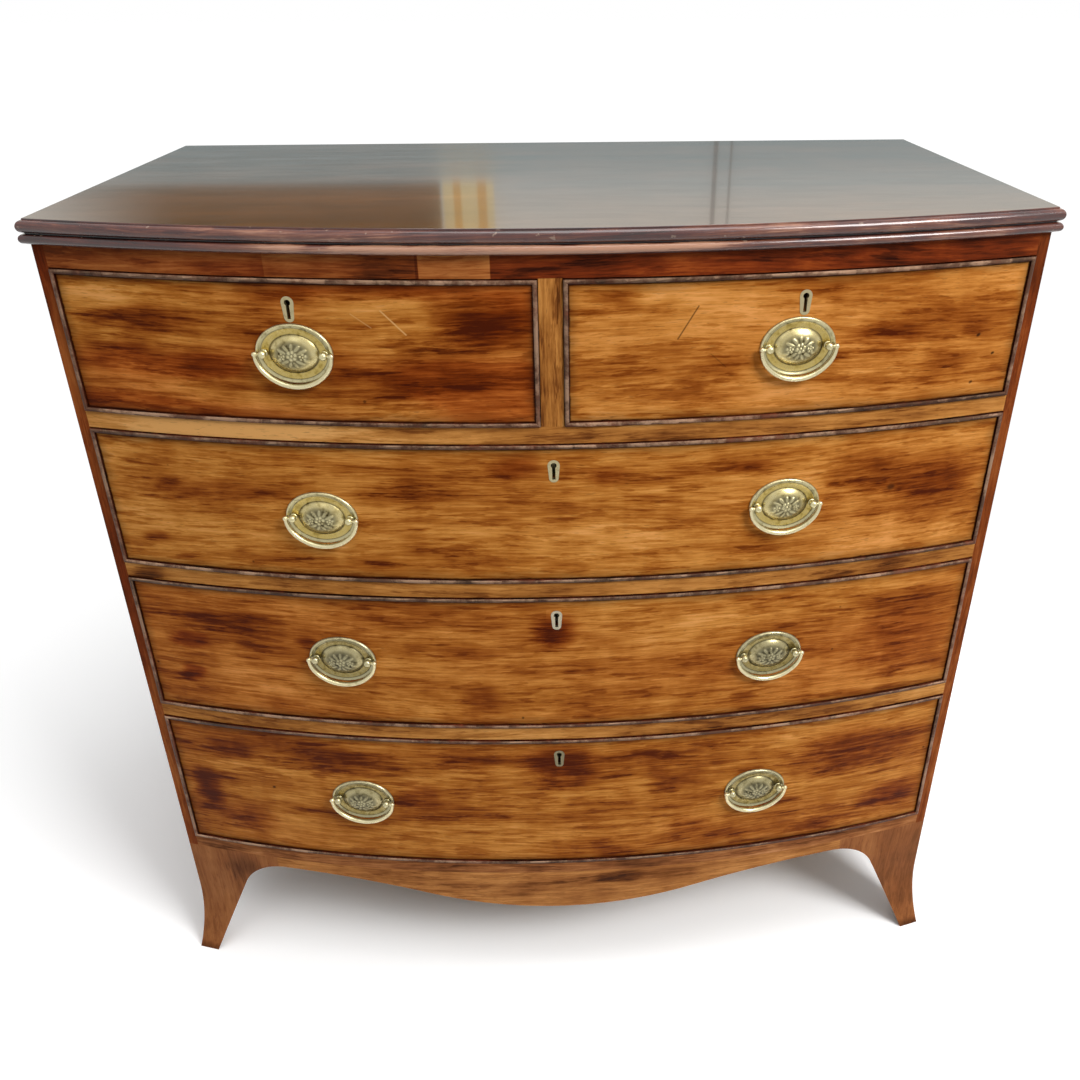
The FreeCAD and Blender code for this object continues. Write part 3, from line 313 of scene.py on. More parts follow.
def timber(name, gold, lie, seed=0.0, red=None, flush=0.0, figure=1.0, ground=0.45, stains=(), lets=(),
           marks=(), rim=None, nose_wear_and_highlight=None, front=None, specks=0.0, dents=0.0, polish=0.35, coat=0.01,
           sheen=0.03, relief=0.25, slot=None):
    """Wood, pale to dark over its figure. gold and red are runs of colour codes, and lie is how often the
    figure repeats along X, Y and Z. stains are (x, z, half length, half height, weight, redness), lets are
    (x from, x to, z from, z to, weight, redness) of let-in strips, marks are (x, z, x, z, width, weight) of
    scratches, rim is (x, z, half length, half height) of a front whose colour darkens along its edges, and
    slot is (x, z) of a keyhole whose inside is painted near-black as shade. worn is the pale colour of a
    rounded nose, partly rubbed wear and partly a painted highlight, and front the run of colours of a facing
    on the bow."""
    material, surface = new_finish(name, {"Coat Weight": coat, "Coat Roughness": 0.06,
                                          "Specular IOR Level": sheen})
    place = surface.add("ShaderNodeTexCoord", out="Object")
    axes = place.add("ShaderNodeSeparateXYZ", ends={0: place})
    x, z = axes, axes.also("Z")
    top = max(lie)
    along = [share < top for share in lie]
    sway = cloud(place, [1.5 if runs else 5 for runs in along], seed, 1.0)
    bent = place.add("ShaderNodeVectorMath", {"operation": "MULTIPLY_ADD"},
                     {0: sway, 1: [0.0 if runs else 0.06 for runs in along], 2: place})
    broad = cloud(bent, lie, seed + 3, 3.0, 0.6)
    streak = cloud(bent, [2.6 * share for share in lie], seed + 7, 6.0, 0.74, 0.15)
    fibre = cloud(bent, [(5 if runs else 14) * share for runs, share in zip(along, lie)], seed + 11, 3.0, 0.6)
    veins = cloud(bent, [(3.4 if runs else 4.4) * share for runs, share in zip(along, lie)], seed + 13, 4.0, 0.6)
    cross = cloud(place, [30 if runs else 14 for runs in along], seed + 17, 2.0)
    depth = (broad - 0.5) * (1.35 * figure) + (streak - 0.5) * (0.85 * figure) + (fibre - 0.5) * (0.9 * figure)
    depth = depth + (cross - 0.5) * (0.4 * figure) + steep(veins, 0.54, 0.60) * (0.20 * figure) + ground
    redness = steep(cloud(place, [1.5 if runs else 5 for runs in along], seed + 23, 2.0), 0.4, 0.62) * flush
    ragged = (veins - 0.5) * 2.2 + (streak - 0.5) * 2.4
    for sx, sz, long, high, weight, reds in stains:
        spot = patch(x + ragged * (long * 0.5), z + ragged * (high * 0.5), (sx, sz), (long * 1.15, high * 1.15))
        depth = depth + spot * weight
        if reds:
            redness = redness + spot * reds
    for x_from, x_to, z_from, z_to, weight, reds in lets:
        strip = stripe(x, x_from, x_to) * stripe(z, z_from, z_to)
        depth = depth + strip * weight
        redness = redness + strip * reds
    colour = graded(depth, gold)
    if red:
        redness = redness.add("ShaderNodeClamp", ends={0: redness})
        colour = blend(colour, graded(depth, red), redness)
    if front:
        colour = blend(colour, graded(depth, front), steep(past_bow(place), -0.0045, -0.0035))
    pits = steep(cloud(bent, [(18 if runs else 34) * share for runs, share in zip(along, lie)], seed + 31, 1.0),
                 0.64, 0.72)
    dark = pits * 0.3
    if dents:
        cells = place.add("ShaderNodeTexVoronoi", None, {"Vector": place, "Scale": 26.0, "Randomness": 1.0})
        picked = cells.add("ShaderNodeSeparateColor", ends={0: cells.also("Color")})
        dark = dark + (1 - steep(cells, 0.03, 0.06)) * steep(picked, 0.80, 0.83) * dents
    # Along its edges a front is darker: a narrow band by the beads and a wider soft band inside it.
    if rim:
        inside_x = rim[2] - abs(x - rim[0])
        inside_z = rim[3] - abs(z - rim[1])
        inside = inside_x.sum("MINIMUM", inside_x, inside_z)
        edge_darkening = (1 - steep(inside + (streak - 0.5) * 0.004, 0.0048, 0.0072)) * 0.6
        dark = dark + edge_darkening + (1 - steep(inside + (streak - 0.5) * 0.03, 0.004, 0.018)) * 0.4
    dark = dark.add("ShaderNodeClamp", ends={0: dark})
    colour = blend(colour, paint("280f06"), dark)
    # The inside of a keyhole, behind the face of the front, is painted near-black as shade.
    if slot:
        keyhole_shade = patch(x, z, slot, (0.012, 0.022)) * (1 - steep(past_bow(place), -0.0025, -0.001))
        colour = blend(colour, paint("080402"), keyhole_shade)
    # A bead's rounded nose is painted pale in broken streaks, more on its upward-facing side: partly rubbed wear,
    # partly a painted highlight.
    if nose_wear_and_highlight:
        lean = surface.add("ShaderNodeNewGeometry", out="Normal")
        spoke = bow_spoke(place)
        outward = spoke.add("ShaderNodeVectorMath", {"operation": "NORMALIZE"}, {0: spoke})
        facing = outward.add("ShaderNodeVectorMath", {"operation": "DOT_PRODUCT"}, {0: outward, 1: lean},
                             out="Value")
        upper = steep(surface.add("ShaderNodeSeparateXYZ", ends={0: lean}).also("Z"), -0.6, 0.4)
        nose = steep(facing, 0.68, 0.98) * (steep(streak, 0.42, 0.60) * 0.62 + 0.16) * upper
        colour = blend(colour, paint(nose_wear_and_highlight), nose)
    if specks:
        chips = steep(cloud(place, (110, 110, 160), seed + 47, 2.0), 0.69, 0.72)
        colour = blend(colour, paint("a08a76"), chips * specks)
    for x_from, z_from, x_to, z_to, width, weight in marks:
        line = scratch(x, z, (x_from, z_from), (x_to, z_to), width) * abs(weight)
        colour = blend(colour, paint("e0b070" if weight > 0 else "2a1408"), line)
    rough = polish + (streak - 0.5) * 0.25 + (fibre - 0.5) * 0.15
    height = fibre * 0.35 - pits * 0.5 + cloud(place, (9, 9, 9), seed + 41, 1.0) * 1.2 - dark * 0.4
    bump = height.add("ShaderNodeBump", None, {"Height": height, "Strength": relief, "Distance": 0.0006})
    surface.feed({"Base Color": colour, "Roughness": rough, "Normal": bump})
    return material


def finish_node(material, *names):
    """Lay a finish on CAD nodes."""
    for name in names:
        for holder in frame["nodes"][name].material_slots:
            holder.material = material


def new_piece(name, points, faces, material, body, slot, *nodes, crease=0.7):
    """A mesh piece that rides on a body and stands for CAD nodes."""
    mesh = bpy.data.meshes.new(name)
    mesh.from_pydata([tuple(point) for point in points], [], faces)
    mesh.update()
    mesh.materials.append(material)
    mesh.shade_smooth()
    mesh.set_sharp_from_angle(angle=crease)
    piece = bpy.data.objects.new(name, mesh)
    bpy.context.scene.collection.objects.link(piece)
    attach(piece, body)
    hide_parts(*nodes)
    return piece


def grid_faces(rows, columns, closed=False, first=0):
    """Four-cornered faces between neighbouring rows of points; closed joins each row's ends."""
    wrap = columns if closed else columns - 1
    return [(first + r * columns + c, first + r * columns + (c + 1) % columns,
             first + (r + 1) * columns + (c + 1) % columns, first + (r + 1) * columns + c)
            for r in range(rows - 1) for c in range(wrap)]


ALONG_X, ALONG_Z = (4.6, 1.5, 27), (27, 27, 4.6)
TOP_BROWNS = ("6c452c", "563521", "412616", "2f190f", "200f09")
top_low, top_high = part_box("top_board")
EDGE_STEP = 0.006
FRONT_OVER = BOW_AXIS_Y - BOW_RADIUS - top_low.y


def edge_profile():
    """(inset, height) up the moulded edge: seat, reed, quirk, reed and fillet."""
    profile = [(EDGE_STEP, 0.0)]
    for foot, height in ((0.0006, 0.0100), (0.0116, 0.0128)):
        reach = min(height / 2, EDGE_STEP - 0.0002)
        profile.append((EDGE_STEP, foot))
        for step in range(15):
            turn = math.radians(-90 + 180 * step / 14)
            profile.append((reach * (1 - math.cos(turn)), foot + height / 2 * (1 + math.sin(turn))))
        profile.append((EDGE_STEP, foot + height))
    return profile + [(EDGE_STEP, 0.0257), (EDGE_STEP + 0.0004, 0.026)]


def edge_point(share, inset):
    """A place on the rim; share runs 0 to 1 down the left end, 1 to 2 along the bow, 2 to 3 up the right."""
    half, reach = top_high.x - inset, BOW_RADIUS + FRONT_OVER - inset
    corner = BOW_AXIS_Y - math.sqrt(reach ** 2 - half ** 2)
    if 1 <= share <= 2:
        x = half * (2 * share - 3)
        return x, BOW_AXIS_Y - math.sqrt(reach ** 2 - x ** 2)
    from_back = share if share < 1 else 3 - share
    return (-half if share < 1 else half), top_high.y + (corner - top_high.y) * from_back


profile = edge_profile()
shares = [i / 30 for i in range(30)] + [1 + i / 180 for i in range(181)] + [2 + i / 30 for i in range(1, 31)]
rim_points = []
for share in shares:
    for inset, height in profile:
        x, y = edge_point(share, inset)
        wear = 0.00035 * noise.noise(Vector((26 * x, 26 * y, 60 * height)))
        x, y = edge_point(share, inset + (abs(wear) if 0 < share < 3 else 0))
        rim_points.append((x, y, top_low.z + height))
ring = len(profile)
rim_faces = grid_faces(len(shares), ring)
rim_faces.append([station * ring + ring - 1 for station in range(len(shares))])
rim_faces.append([station * ring for station in reversed(range(len(shares)))])
rim_faces.append(list(range(ring)) + [(len(shares) - 1) * ring + i for i in reversed(range(ring))])
top_finish = timber("polished_top", TOP_BROWNS, (2.4, 18, 18), 4.0, figure=0.7, polish=0.2, coat=0.7,
                    sheen=0.4, relief=0.05)
# The stains are a paler band along the lower reed, partly wear and partly a painted highlight, and two thin dark
# lines of painted shade in the quirk between the reeds and below the lower reed.
reed_finish = timber("reeded_edge", ("b08064", "6e3e2c", "481f19", "2f1410", "160806"), (3, 12, 40), 6.0,
                     figure=0.9, polish=0.26, coat=0.6, sheen=0.4, relief=0.2, specks=0.45,
                     stains=((-0.06, 1.0645, 0.30, 0.0065, -0.5, 0.0), (0.0, 1.0704, 1.0, 0.0012, 0.9, 0.0),
                             (0.0, 1.0590, 1.0, 0.0015, 0.9, 0.0)))
top_piece = new_piece("reeded_top", rim_points, rim_faces, top_finish, "carcase", "mahogany_top", "top_board",
                      crease=0.5)
top_piece.data.materials.append(reed_finish)
for number, face in enumerate(top_piece.data.polygons):
    if number < (len(shares) - 1) * (ring - 1):
        face.material_index = 1

# ---------------------------------------------------------------- case sides, frieze and rails
# Solid mahogany sides and a veneered frieze, rails and upright, all polished.
# The frieze is pieced from darker and lighter lengths of veneer, and one stile is made good at the top.
CASE_BROWNS = ("c07a40", "a25c2c", "823f1a", "5a2a12", "381608")
CASE_REDS = ("b45a2c", "98461a", "783012", "52200c", "2c0f06")
STILE_STAINS = ((-0.53, 0.60, 0.03, 0.16, 0.22, 0.5), (-0.53, 0.93, 0.03, 0.08, -0.2, 0.0),
                (-0.53, 0.30, 0.03, 0.07, -0.16, 0.0), (-0.53, 1.05, 0.03, 0.05, 0.2, 0.8),
                (0.53, 0.98, 0.03, 0.10, 0.2, 0.4), (0.53, 0.60, 0.03, 0.20, 0.14, 0.0))
finish_node(timber("polished_sides", CASE_BROWNS, ALONG_Z, 9.0, red=CASE_REDS, flush=0.4, figure=0.6,
                   ground=0.40, stains=STILE_STAINS, polish=0.5, sheen=0.02),
            "left_side_panel", "right_side_panel")
FRIEZE_LETS = ((-0.281, -0.131, 1.0, 1.1, -0.14, -1.0), (-0.128, -0.058, 1.0, 1.1, -0.52, -0.8))
finish_node(timber("frieze_veneer", CASE_BROWNS, ALONG_X, 12.0, red=CASE_REDS, flush=1.0, ground=0.5,
                   lets=FRIEZE_LETS), "frieze_rail")
RAIL_BROWNS = ("e8ac66", "d0904a", "b07234", "7c461c", "40200c")
RAIL_STAINS = ((-0.48, 0.667, 0.022, 0.02, 0.35, 0.0), (0.42, 0.667, 0.1, 0.02, 0.2, 0.0),
               (-0.40, 0.865, 0.12, 0.03, -0.15, 0.0),
               (0.25, 0.46, 0.2, 0.02, 0.15, 0.0), (-0.33, 0.865, 0.18, 0.03, -0.5, 0.0))
finish_node(timber("rail_veneer", RAIL_BROWNS, ALONG_X, 15.0, figure=0.8, stains=RAIL_STAINS),
            "upper_drawer_rail", "middle_drawer_rail", "lower_drawer_rail")
finish_node(timber("upright_veneer", RAIL_BROWNS, ALONG_Z, 18.0, ground=0.6), "short_drawer_divider")

# ---------------------------------------------------------------- feet and aprons
# Splayed bracket feet and a bowed apron, of the same mahogany and less polished, darker at the toes.
BASE_BROWNS = ("cc9060", "b27444", "915831", "653a1f", "371c10")
APRON_BROWNS = ("e4a868", "ca8a4c", "a66936", "74411d", "3e1f0f")
finish_node(timber("base_veneer", APRON_BROWNS, ALONG_X, 21.0, figure=0.7, ground=0.40, polish=0.42,
                   stains=((0.1, 0.19, 0.12, 0.015, 0.25, 0.0),)), "front_apron", "side_aprons")
finish_node(timber("foot_veneer", BASE_BROWNS, ALONG_Z, 24.0, figure=0.4, ground=0.42, polish=0.45,
                   stains=((-0.53, 0.0, 0.05, 0.012, 0.3, 0.0), (0.53, 0.0, 0.05, 0.012, 0.3, 0.0),
                           (-0.45, 0.17, 0.03, 0.03, 0.25, 0.0), (0.50, 0.10, 0.07, 0.12, 0.14, 0.0))),
            "front_left_foot", "front_right_foot",
            "rear_left_foot", "rear_right_foot")

# ---------------------------------------------------------------- inside of the case
# Softwood back, bottom, dust boards and glue blocks, left bare, with a mahogany lip on the bottom.
# The runners, kickers and stops are oak.
PINE = ("d9b98a", "c8a271", "b08a5a", "8e6a43", "5e4329")
OAK = ("b9946a", "a27d53", "8a673f", "6b4c2d", "43301d")
finish_node(timber("bare_softwood", PINE, ALONG_X, 27.0, figure=0.6, ground=0.38, polish=0.75, coat=0.0,
                   relief=0.5), "rear_top_rail", "dust_boards", "glue_blocks", "centre_partition")
BACK_COUNT = 5
back_low, back_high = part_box("back_boards")
joints_at = [back_low.z + (back_high.z - back_low.z) * number / BACK_COUNT for number in range(1, BACK_COUNT)]
finish_node(timber("back_softwood", PINE, ALONG_X, 26.0, figure=0.6, ground=0.40, polish=0.75, coat=0.0,
                   relief=0.5, lets=[(-1, 1, z - 0.0004, z + 0.0004, 0.9, 0.0) for z in joints_at]), "back_boards")
finish_node(timber("lipped_bottom", PINE, ALONG_X, 28.0, front=BASE_BROWNS, polish=0.5, coat=0.0),
            "carcase_bottom")
finish_node(timber("bare_oak", OAK, (30, 3.0, 30), 30.0, figure=0.6, polish=0.7, coat=0.0, relief=0.5),
            "drawer_runners_and_kickers", "drawer_stops")

# ---------------------------------------------------------------- drawer fronts
# Each front is faced with one long leaf of figured mahogany, golden where it has faded and red-brown where the
# figure is darkest.
# Its colour is darker along the edges next to the beads, the inside of its keyhole is painted near-black as shade,
# and years of use left marks.
GOLDS = ("e6a25a", "d08c40", "b06a26", "8a4612", "562005")
REDS = ("d68038", "ba6526", "964714", "722e07", "4a1804")
FRONTS = {
    "short_left_drawer": dict(seed=51.0, ground=0.50, flush=2.2, stains=(
        (-0.415, 0.986, 0.066, 0.023, 0.30, 0.5), (-0.443, 0.955, 0.026, 0.010, 0.22, 0.3),
        (-0.361, 0.935, 0.048, 0.016, 0.28, 0.7), (-0.074, 0.983, 0.052, 0.026, 0.34, 0.6),
        (-0.101, 0.930, 0.077, 0.028, 0.16, 0.5), (-0.452, 1.013, 0.049, 0.015, -0.30, -0.5),
        (-0.434, 0.914, 0.073, 0.026, -0.16, 0.0), (-0.188, 1.008, 0.071, 0.022, -0.24, -0.5),
        (-0.280, 0.901, 0.049, 0.013, -0.10, 0.0), (-0.188, 0.970, 0.036, 0.012, -0.08, 0.0)), marks=(
        (-0.1692, 1.0021, -0.1454, 0.9772, 0.0012, 0.8), (-0.1997, 0.9985, -0.1801, 0.9842, 0.001, 0.4))),
    "short_right_drawer": dict(seed=57.0, ground=0.38, flush=0.25, stains=(
        (0.105, 1.000, 0.034, 0.011, 0.20, 0.0), (0.350, 0.959, 0.054, 0.017, 0.30, 0.2),
        (0.430, 0.927, 0.034, 0.012, 0.18, 0.0), (0.155, 0.901, 0.062, 0.015, 0.30, 0.1),
        (0.061, 1.009, 0.027, 0.018, 0.14, 0.1), (0.262, 0.914, 0.111, 0.020, -0.10, 0.0),
        (0.383, 1.002, 0.091, 0.016, -0.12, 0.0),
        (0.420, 0.960, 0.080, 0.050, 0.16, 0.0)), marks=(
        (0.1483, 1.0031, 0.1284, 0.9690, 0.0012, -0.7), (0.1634, 0.9513, 0.1801, 0.9361, 0.001, -0.35),
        (0.4599, 0.9511, 0.4609, 0.9517, 0.003, -0.9), (0.4818, 0.9281, 0.4828, 0.9286, 0.0025, -0.9),
        (0.4612, 0.8961, 0.4622, 0.8966, 0.0025, -0.8))),
    "upper_long_drawer": dict(seed=63.0, ground=0.41, flush=0.25, stains=(
        (-0.452, 0.814, 0.044, 0.022, 0.24, 0.0), (-0.383, 0.787, 0.106, 0.020, 0.26, 0.3),
        (-0.461, 0.721, 0.019, 0.009, 0.30, 0.2), (-0.150, 0.804, 0.049, 0.021, 0.24, 0.0),
        (-0.042, 0.826, 0.031, 0.015, 0.15, 0.7), (0.056, 0.815, 0.031, 0.012, 0.16, 0.5),
        (0.214, 0.818, 0.032, 0.007, 0.16, 0.5), (0.345, 0.796, 0.052, 0.032, 0.30, 0.1),
        (0.443, 0.779, 0.062, 0.028, 0.34, 0.3), (0.411, 0.704, 0.093, 0.018, -0.26, 0.0),
        (0.286, 0.844, 0.040, 0.012, -0.20, 0.0), (-0.465, 0.836, 0.034, 0.008, -0.20, 0.0),
        (0.050, 0.733, 0.113, 0.026, -0.12, 0.0),
        (0.420, 0.770, 0.080, 0.060, 0.14, 0.1)), marks=((0.3839, 0.7742, 0.3855, 0.7746, 0.006, -0.7),)),
    "middle_long_drawer": dict(seed=69.0, ground=0.44, flush=0.5, stains=(
        (-0.399, 0.607, 0.080, 0.022, 0.24, 0.0), (-0.451, 0.572, 0.027, 0.016, 0.34, 0.8),
        (-0.456, 0.521, 0.018, 0.014, 0.30, 0.8), (-0.302, 0.584, 0.016, 0.009, 0.30, 0.3),
        (-0.110, 0.576, 0.048, 0.013, 0.20, 0.2), (-0.097, 0.501, 0.028, 0.028, 0.20, 0.2),
        (-0.004, 0.609, 0.028, 0.028, 0.38, 0.9), (0.431, 0.555, 0.071, 0.073, 0.18, 0.2),
        (-0.376, 0.511, 0.060, 0.024, -0.15, 0.0), (0.187, 0.523, 0.140, 0.032, -0.12, 0.0)),
        lets=((-0.012, 0.006, 0.6285, 0.640, -0.12, 0.1),)),
    "lower_long_drawer": dict(seed=75.0, ground=0.50, flush=0.3, stains=(
        (-0.472, 0.318, 0.023, 0.042, 0.42, 0.8), (-0.426, 0.399, 0.040, 0.020, 0.30, 0.3),
        (-0.287, 0.389, 0.078, 0.026, 0.20, 0.0), (-0.113, 0.410, 0.061, 0.030, 0.22, 0.1),
        (-0.003, 0.396, 0.054, 0.041, 0.42, 0.7), (-0.184, 0.340, 0.032, 0.031, 0.20, 0.5),
        (0.147, 0.357, 0.043, 0.019, 0.20, 0.0), (0.170, 0.278, 0.036, 0.024, 0.24, 0.2),
        (0.389, 0.376, 0.099, 0.044, 0.28, 0.5), (0.457, 0.277, 0.049, 0.026, 0.30, 0.6),
        (-0.040, 0.276, 0.328, 0.030, -0.14, 0.0), (-0.429, 0.278, 0.052, 0.029, 0.20, 0.4)),
        marks=((-0.3783, 0.3382, -0.3773, 0.3386, 0.0028, -0.9),)),
}
for drawer, look in FRONTS.items():
    low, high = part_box(drawer + "_front")
    middle, half = (low + high) / 2, (high - low) / 2
    lock_low, lock_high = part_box(drawer + "_lock_bolt")
    slot = ((lock_low.x + lock_high.x) / 2, high.z - 0.024)
    finish_node(timber(drawer + "_veneer", GOLDS, ALONG_X, red=REDS, dents=0.6, slot=slot,
                       rim=(middle.x, middle.z, half.x, half.z), **look), drawer + "_front")

# ---------------------------------------------------------------- cock beads
# Thin strips with a round nose, mitred at the corners, let into the edges of every front.
# Their noses are pale in broken streaks, more on the upward-facing side: partly rubbed wear by handling, partly a
# painted highlight.
BEAD_BROWNS = ("6c301c", "502212", "38150a", "240d06", "140702")
bead_finish = timber("bead_mahogany", BEAD_BROWNS, (8, 3, 8), 33.0, nose_wear_and_highlight="d4ac8c", polish=0.35, coat=0.04,
                     sheen=0.05)
finish_node(bead_finish, *[drawer + "_cock_beads" for drawer in FRONTS])

# ---------------------------------------------------------------- drawer boxes
# Sides, back and bottom of thin oak, dovetailed and left bare.
finish_node(timber("drawer_oak", OAK, (30, 2.5, 30), 36.0, figure=0.5, ground=0.36, polish=0.65, coat=0.0,
                   relief=0.4),
            *[drawer + "_box" for drawer in FRONTS])


# ---------------------------------------------------------------- handles and bails
# Oval plates stamped in thin brass, with a rolled rim, a dish and a domed boss with a spray of flowers.
# Two turned posts go through each front to a nut inside, and a cast bail hangs from them.
def brass(name, bright, dish, dull, polish):
    """Brass that is dull where the pattern's hollows are and ochre in the dish."""
    material, surface = new_finish(name, {"Metallic": 0.92, "Specular IOR Level": 0.1})
    place = surface.add("ShaderNodeTexCoord", out="Object")
    hollow = surface.add("ShaderNodeAttribute", {"attribute_name": "hollow"}, out="Fac")
    ochre = surface.add("ShaderNodeAttribute", {"attribute_name": "dish"}, out="Fac")
    mottle = cloud(place, (160, 160, 160), 2.0, 4.0, 0.6)
    colour = blend(paint(bright), paint(dish), ochre * 0.8 + (mottle - 0.5) * 0.8)
    tarnish = hollow * 1.05 + (steep(mottle, 0.50, 0.72) - 0.2) * 0.35
    tarnish = tarnish.add("ShaderNodeClamp", ends={0: tarnish})
    colour = blend(colour, paint(dull), tarnish)
    height = cloud(place, (900, 900, 900), 5.0, 2.0)
    bump = height.add("ShaderNodeBump", None, {"Height": height, "Strength": 0.2, "Distance": 0.0002})
    surface.feed({"Base Color": colour, "Normal": bump,
                  "Roughness": (mottle - 0.5) * 0.3 + tarnish * 0.2 + polish})
    return material


MM = 0.001
PLATE_HALF, PLATE_SQUEEZE = 41.0, 65 / 82
PIVOT_OUT, FRONT_THICK = 6.0, 22.0
POST_APART, BAIL_APART, BAIL_DROP = 32.0, 40.25, 34.5
# (share of the plate's half width, height above the wood) from the rim to the foot of the boss
PLATE_RISE = ((1.0, 0.0), (0.996, 0.9), (0.985, 1.8), (0.968, 2.4), (0.95, 2.55), (0.93, 2.3), (0.905, 1.75),
              (0.875, 1.35), (0.855, 1.2), (0.845, 1.4), (0.83, 1.45), (0.81, 1.1), (0.77, 0.7), (0.72, 0.5),
              (0.68, 0.5), (0.65, 0.7), (0.64, 0.9), (0.632, 0.8), (0.625, 1.0))
BOSS_SHARE, BOSS_FOOT, BOSS_TOP = 0.625, 1.0, 8.6


def flower(x, z, centre, petals, ring, size):
    """A ring of round petals about a bud."""
    rise = 1.1 * np.exp(-((x - centre[0]) ** 2 + (z - centre[1]) ** 2) / (0.75 * size) ** 2)
    for number in range(petals):
        turn = math.tau * (number + 0.25) / petals
        u, v = centre[0] + ring * math.cos(turn), centre[1] + ring * math.sin(turn)
        rise = np.maximum(rise, np.exp(-((x - u) ** 2 + (z - v) ** 2) / size ** 2))
    return rise


def leaf(x, z, root, tip, width):
    """A pointed leaf from root to tip with a sunk midrib."""
    run = np.array(tip) - np.array(root)
    length = math.hypot(*run)
    along = ((x - root[0]) * run[0] + (z - root[1]) * run[1]) / length ** 2
    aside = ((x - root[0]) * run[1] - (z - root[1]) * run[0]) / length
    spread = width * np.sqrt(np.clip(4 * along * (1 - along), 0.0, 1.0)) + 0.01
    return 0.85 * np.exp(-(aside / spread) ** 2 * 1.6) * ((along > 0) & (along < 1)) \
        * (1 - 0.45 * np.exp(-(aside / 0.35) ** 2))


def spray(x, z):
    """Height of the flower spray on the boss, 0 to about 1."""
    x, z = x / 1.3, (z + 1.0) / 1.3
    rise = flower(x, z, (0, 1.0), 6, 3.1, 1.45)
    for side in (-1, 1):
        rise = np.maximum(rise, flower(x, z, (8.6 * side, -0.2), 5, 2.1, 1.05))
        for root, tip, width in (((2.5, 4.5), (6.8, 9.0), 1.5), ((4.5, 2.5), (12.0, 5.5), 1.4),
                                 ((3.0, -3.0), (9.5, -7.0), 1.6), ((8.6, -3.0), (14.0, -4.6), 1.2),
                                 ((0.8, -4.2), (3.6, -9.8), 1.3)):
            rise = np.maximum(rise, leaf(side * x, z, root, tip, width))
    return np.maximum(rise, leaf(x, z, (0, 5.4), (0, 10.4), 1.4))


def oval_plate():
    """Points (right, out, up), faces and the two tarnish shares of one plate, in millimetres."""
    shares = np.concatenate([np.array([s for s, _ in PLATE_RISE]), np.linspace(BOSS_SHARE, 0.004, 54)[1:]])
    turns = np.arange(112) * math.tau / 112
    x = PLATE_HALF * np.outer(shares, np.cos(turns))
    z = PLATE_HALF * PLATE_SQUEEZE * np.outer(shares, np.sin(turns))
    rise = np.interp(-shares, [-s for s, _ in PLATE_RISE], [h for _, h in PLATE_RISE])
    in_boss = np.clip(1 - (shares / BOSS_SHARE) ** 2.2, 0, None) ** 0.85
    rise = np.where(shares < BOSS_SHARE, BOSS_FOOT + (BOSS_TOP - BOSS_FOOT) * in_boss, rise)
    pattern = spray(x, z)
    out = rise[:, None] + 1.3 * pattern * (shares[:, None] < 0.54)
    groove = np.interp(-shares, [-1.0, -0.97, -0.93, -0.87, -0.856, -0.84, -0.67, -0.655, -0.638, -0.62, -0.58,
                                 -0.50, -0.44, -0.34, 0.0],
                       [0.3, 0.0, 0.25, 0.35, 0.8, 0.1, 0.1, 0.3, 1.0, 0.4, 0.05, 0.1, 0.5, 0.85, 0.85])
    hollow = np.clip(groove[:, None] * np.ones_like(x) - 0.8 * pattern * (shares[:, None] < 0.54), 0, 1)
    dish = np.interp(-shares, [-0.87, -0.83, -0.66, -0.62, -0.44, -0.36], [0, 1, 1, 0.5, 0.45, 0.1])
    points = np.stack([x, out, z], axis=-1).reshape(-1, 3)
    faces = grid_faces(len(shares), 112, closed=True)
    faces.append([(len(shares) - 1) * 112 + c for c in range(112)])
    return points, faces, hollow.ravel(), np.repeat(dish, 112)


def lathe(profile, middle, sides=28):
    """A turned piece about an outward line; profile is (radius, out)."""
    turns = np.arange(sides) * math.tau / sides + math.pi / sides
    points = [(middle + radius * math.cos(t), out, radius * math.sin(t)) for radius, out in profile for t in turns]
    faces = grid_faces(len(profile), sides, closed=True)
    faces.append(list(reversed(range(sides))))
    faces.append([(len(profile) - 1) * sides + c for c in range(sides)])
    return np.array(points), faces


def round_of(radius, centre, start, finish, steps):
    """(radius, out) down a ball's outline between two angles in degrees."""
    angles = [math.radians(start + (finish - start) * i / steps) for i in range(steps + 1)]
    return [(radius * math.cos(a), centre + radius * math.sin(a)) for a in angles]


POST = ([(2.5, -FRONT_THICK - 4.5), (2.5, 1.0), (3.9, 1.2), (4.3, 1.6), (4.3, 2.1), (3.7, 2.5), (2.9, 2.8)]
        + round_of(4.6, PIVOT_OUT, -38, 84, 12) + [(0.4, 10.58)])
NUT = [(4.4, -FRONT_THICK - 3.3), (5.0, -FRONT_THICK - 2.9), (5.0, -FRONT_THICK - 0.5), (4.6, -FRONT_THICK - 0.3)]


def swept(path, radii, sides=20):
    """A rod along a path of (right, out, up) points in one upright plane."""
    path = np.array(path)
    heading = np.gradient(path, axis=0)
    heading /= np.linalg.norm(heading, axis=1)[:, None]
    outward = np.array([0.0, 1.0, 0.0])
    aside = np.cross(heading, outward)
    points = [centre + radius * (math.cos(t) * side + math.sin(t) * outward)
              for centre, radius, side in zip(path, radii, aside)
              for t in np.arange(sides) * math.tau / sides]
    faces = grid_faces(len(path), sides, closed=True)
    faces.append(list(reversed(range(sides))))
    faces.append([(len(path) - 1) * sides + c for c in range(sides)])
    return np.array(points), faces


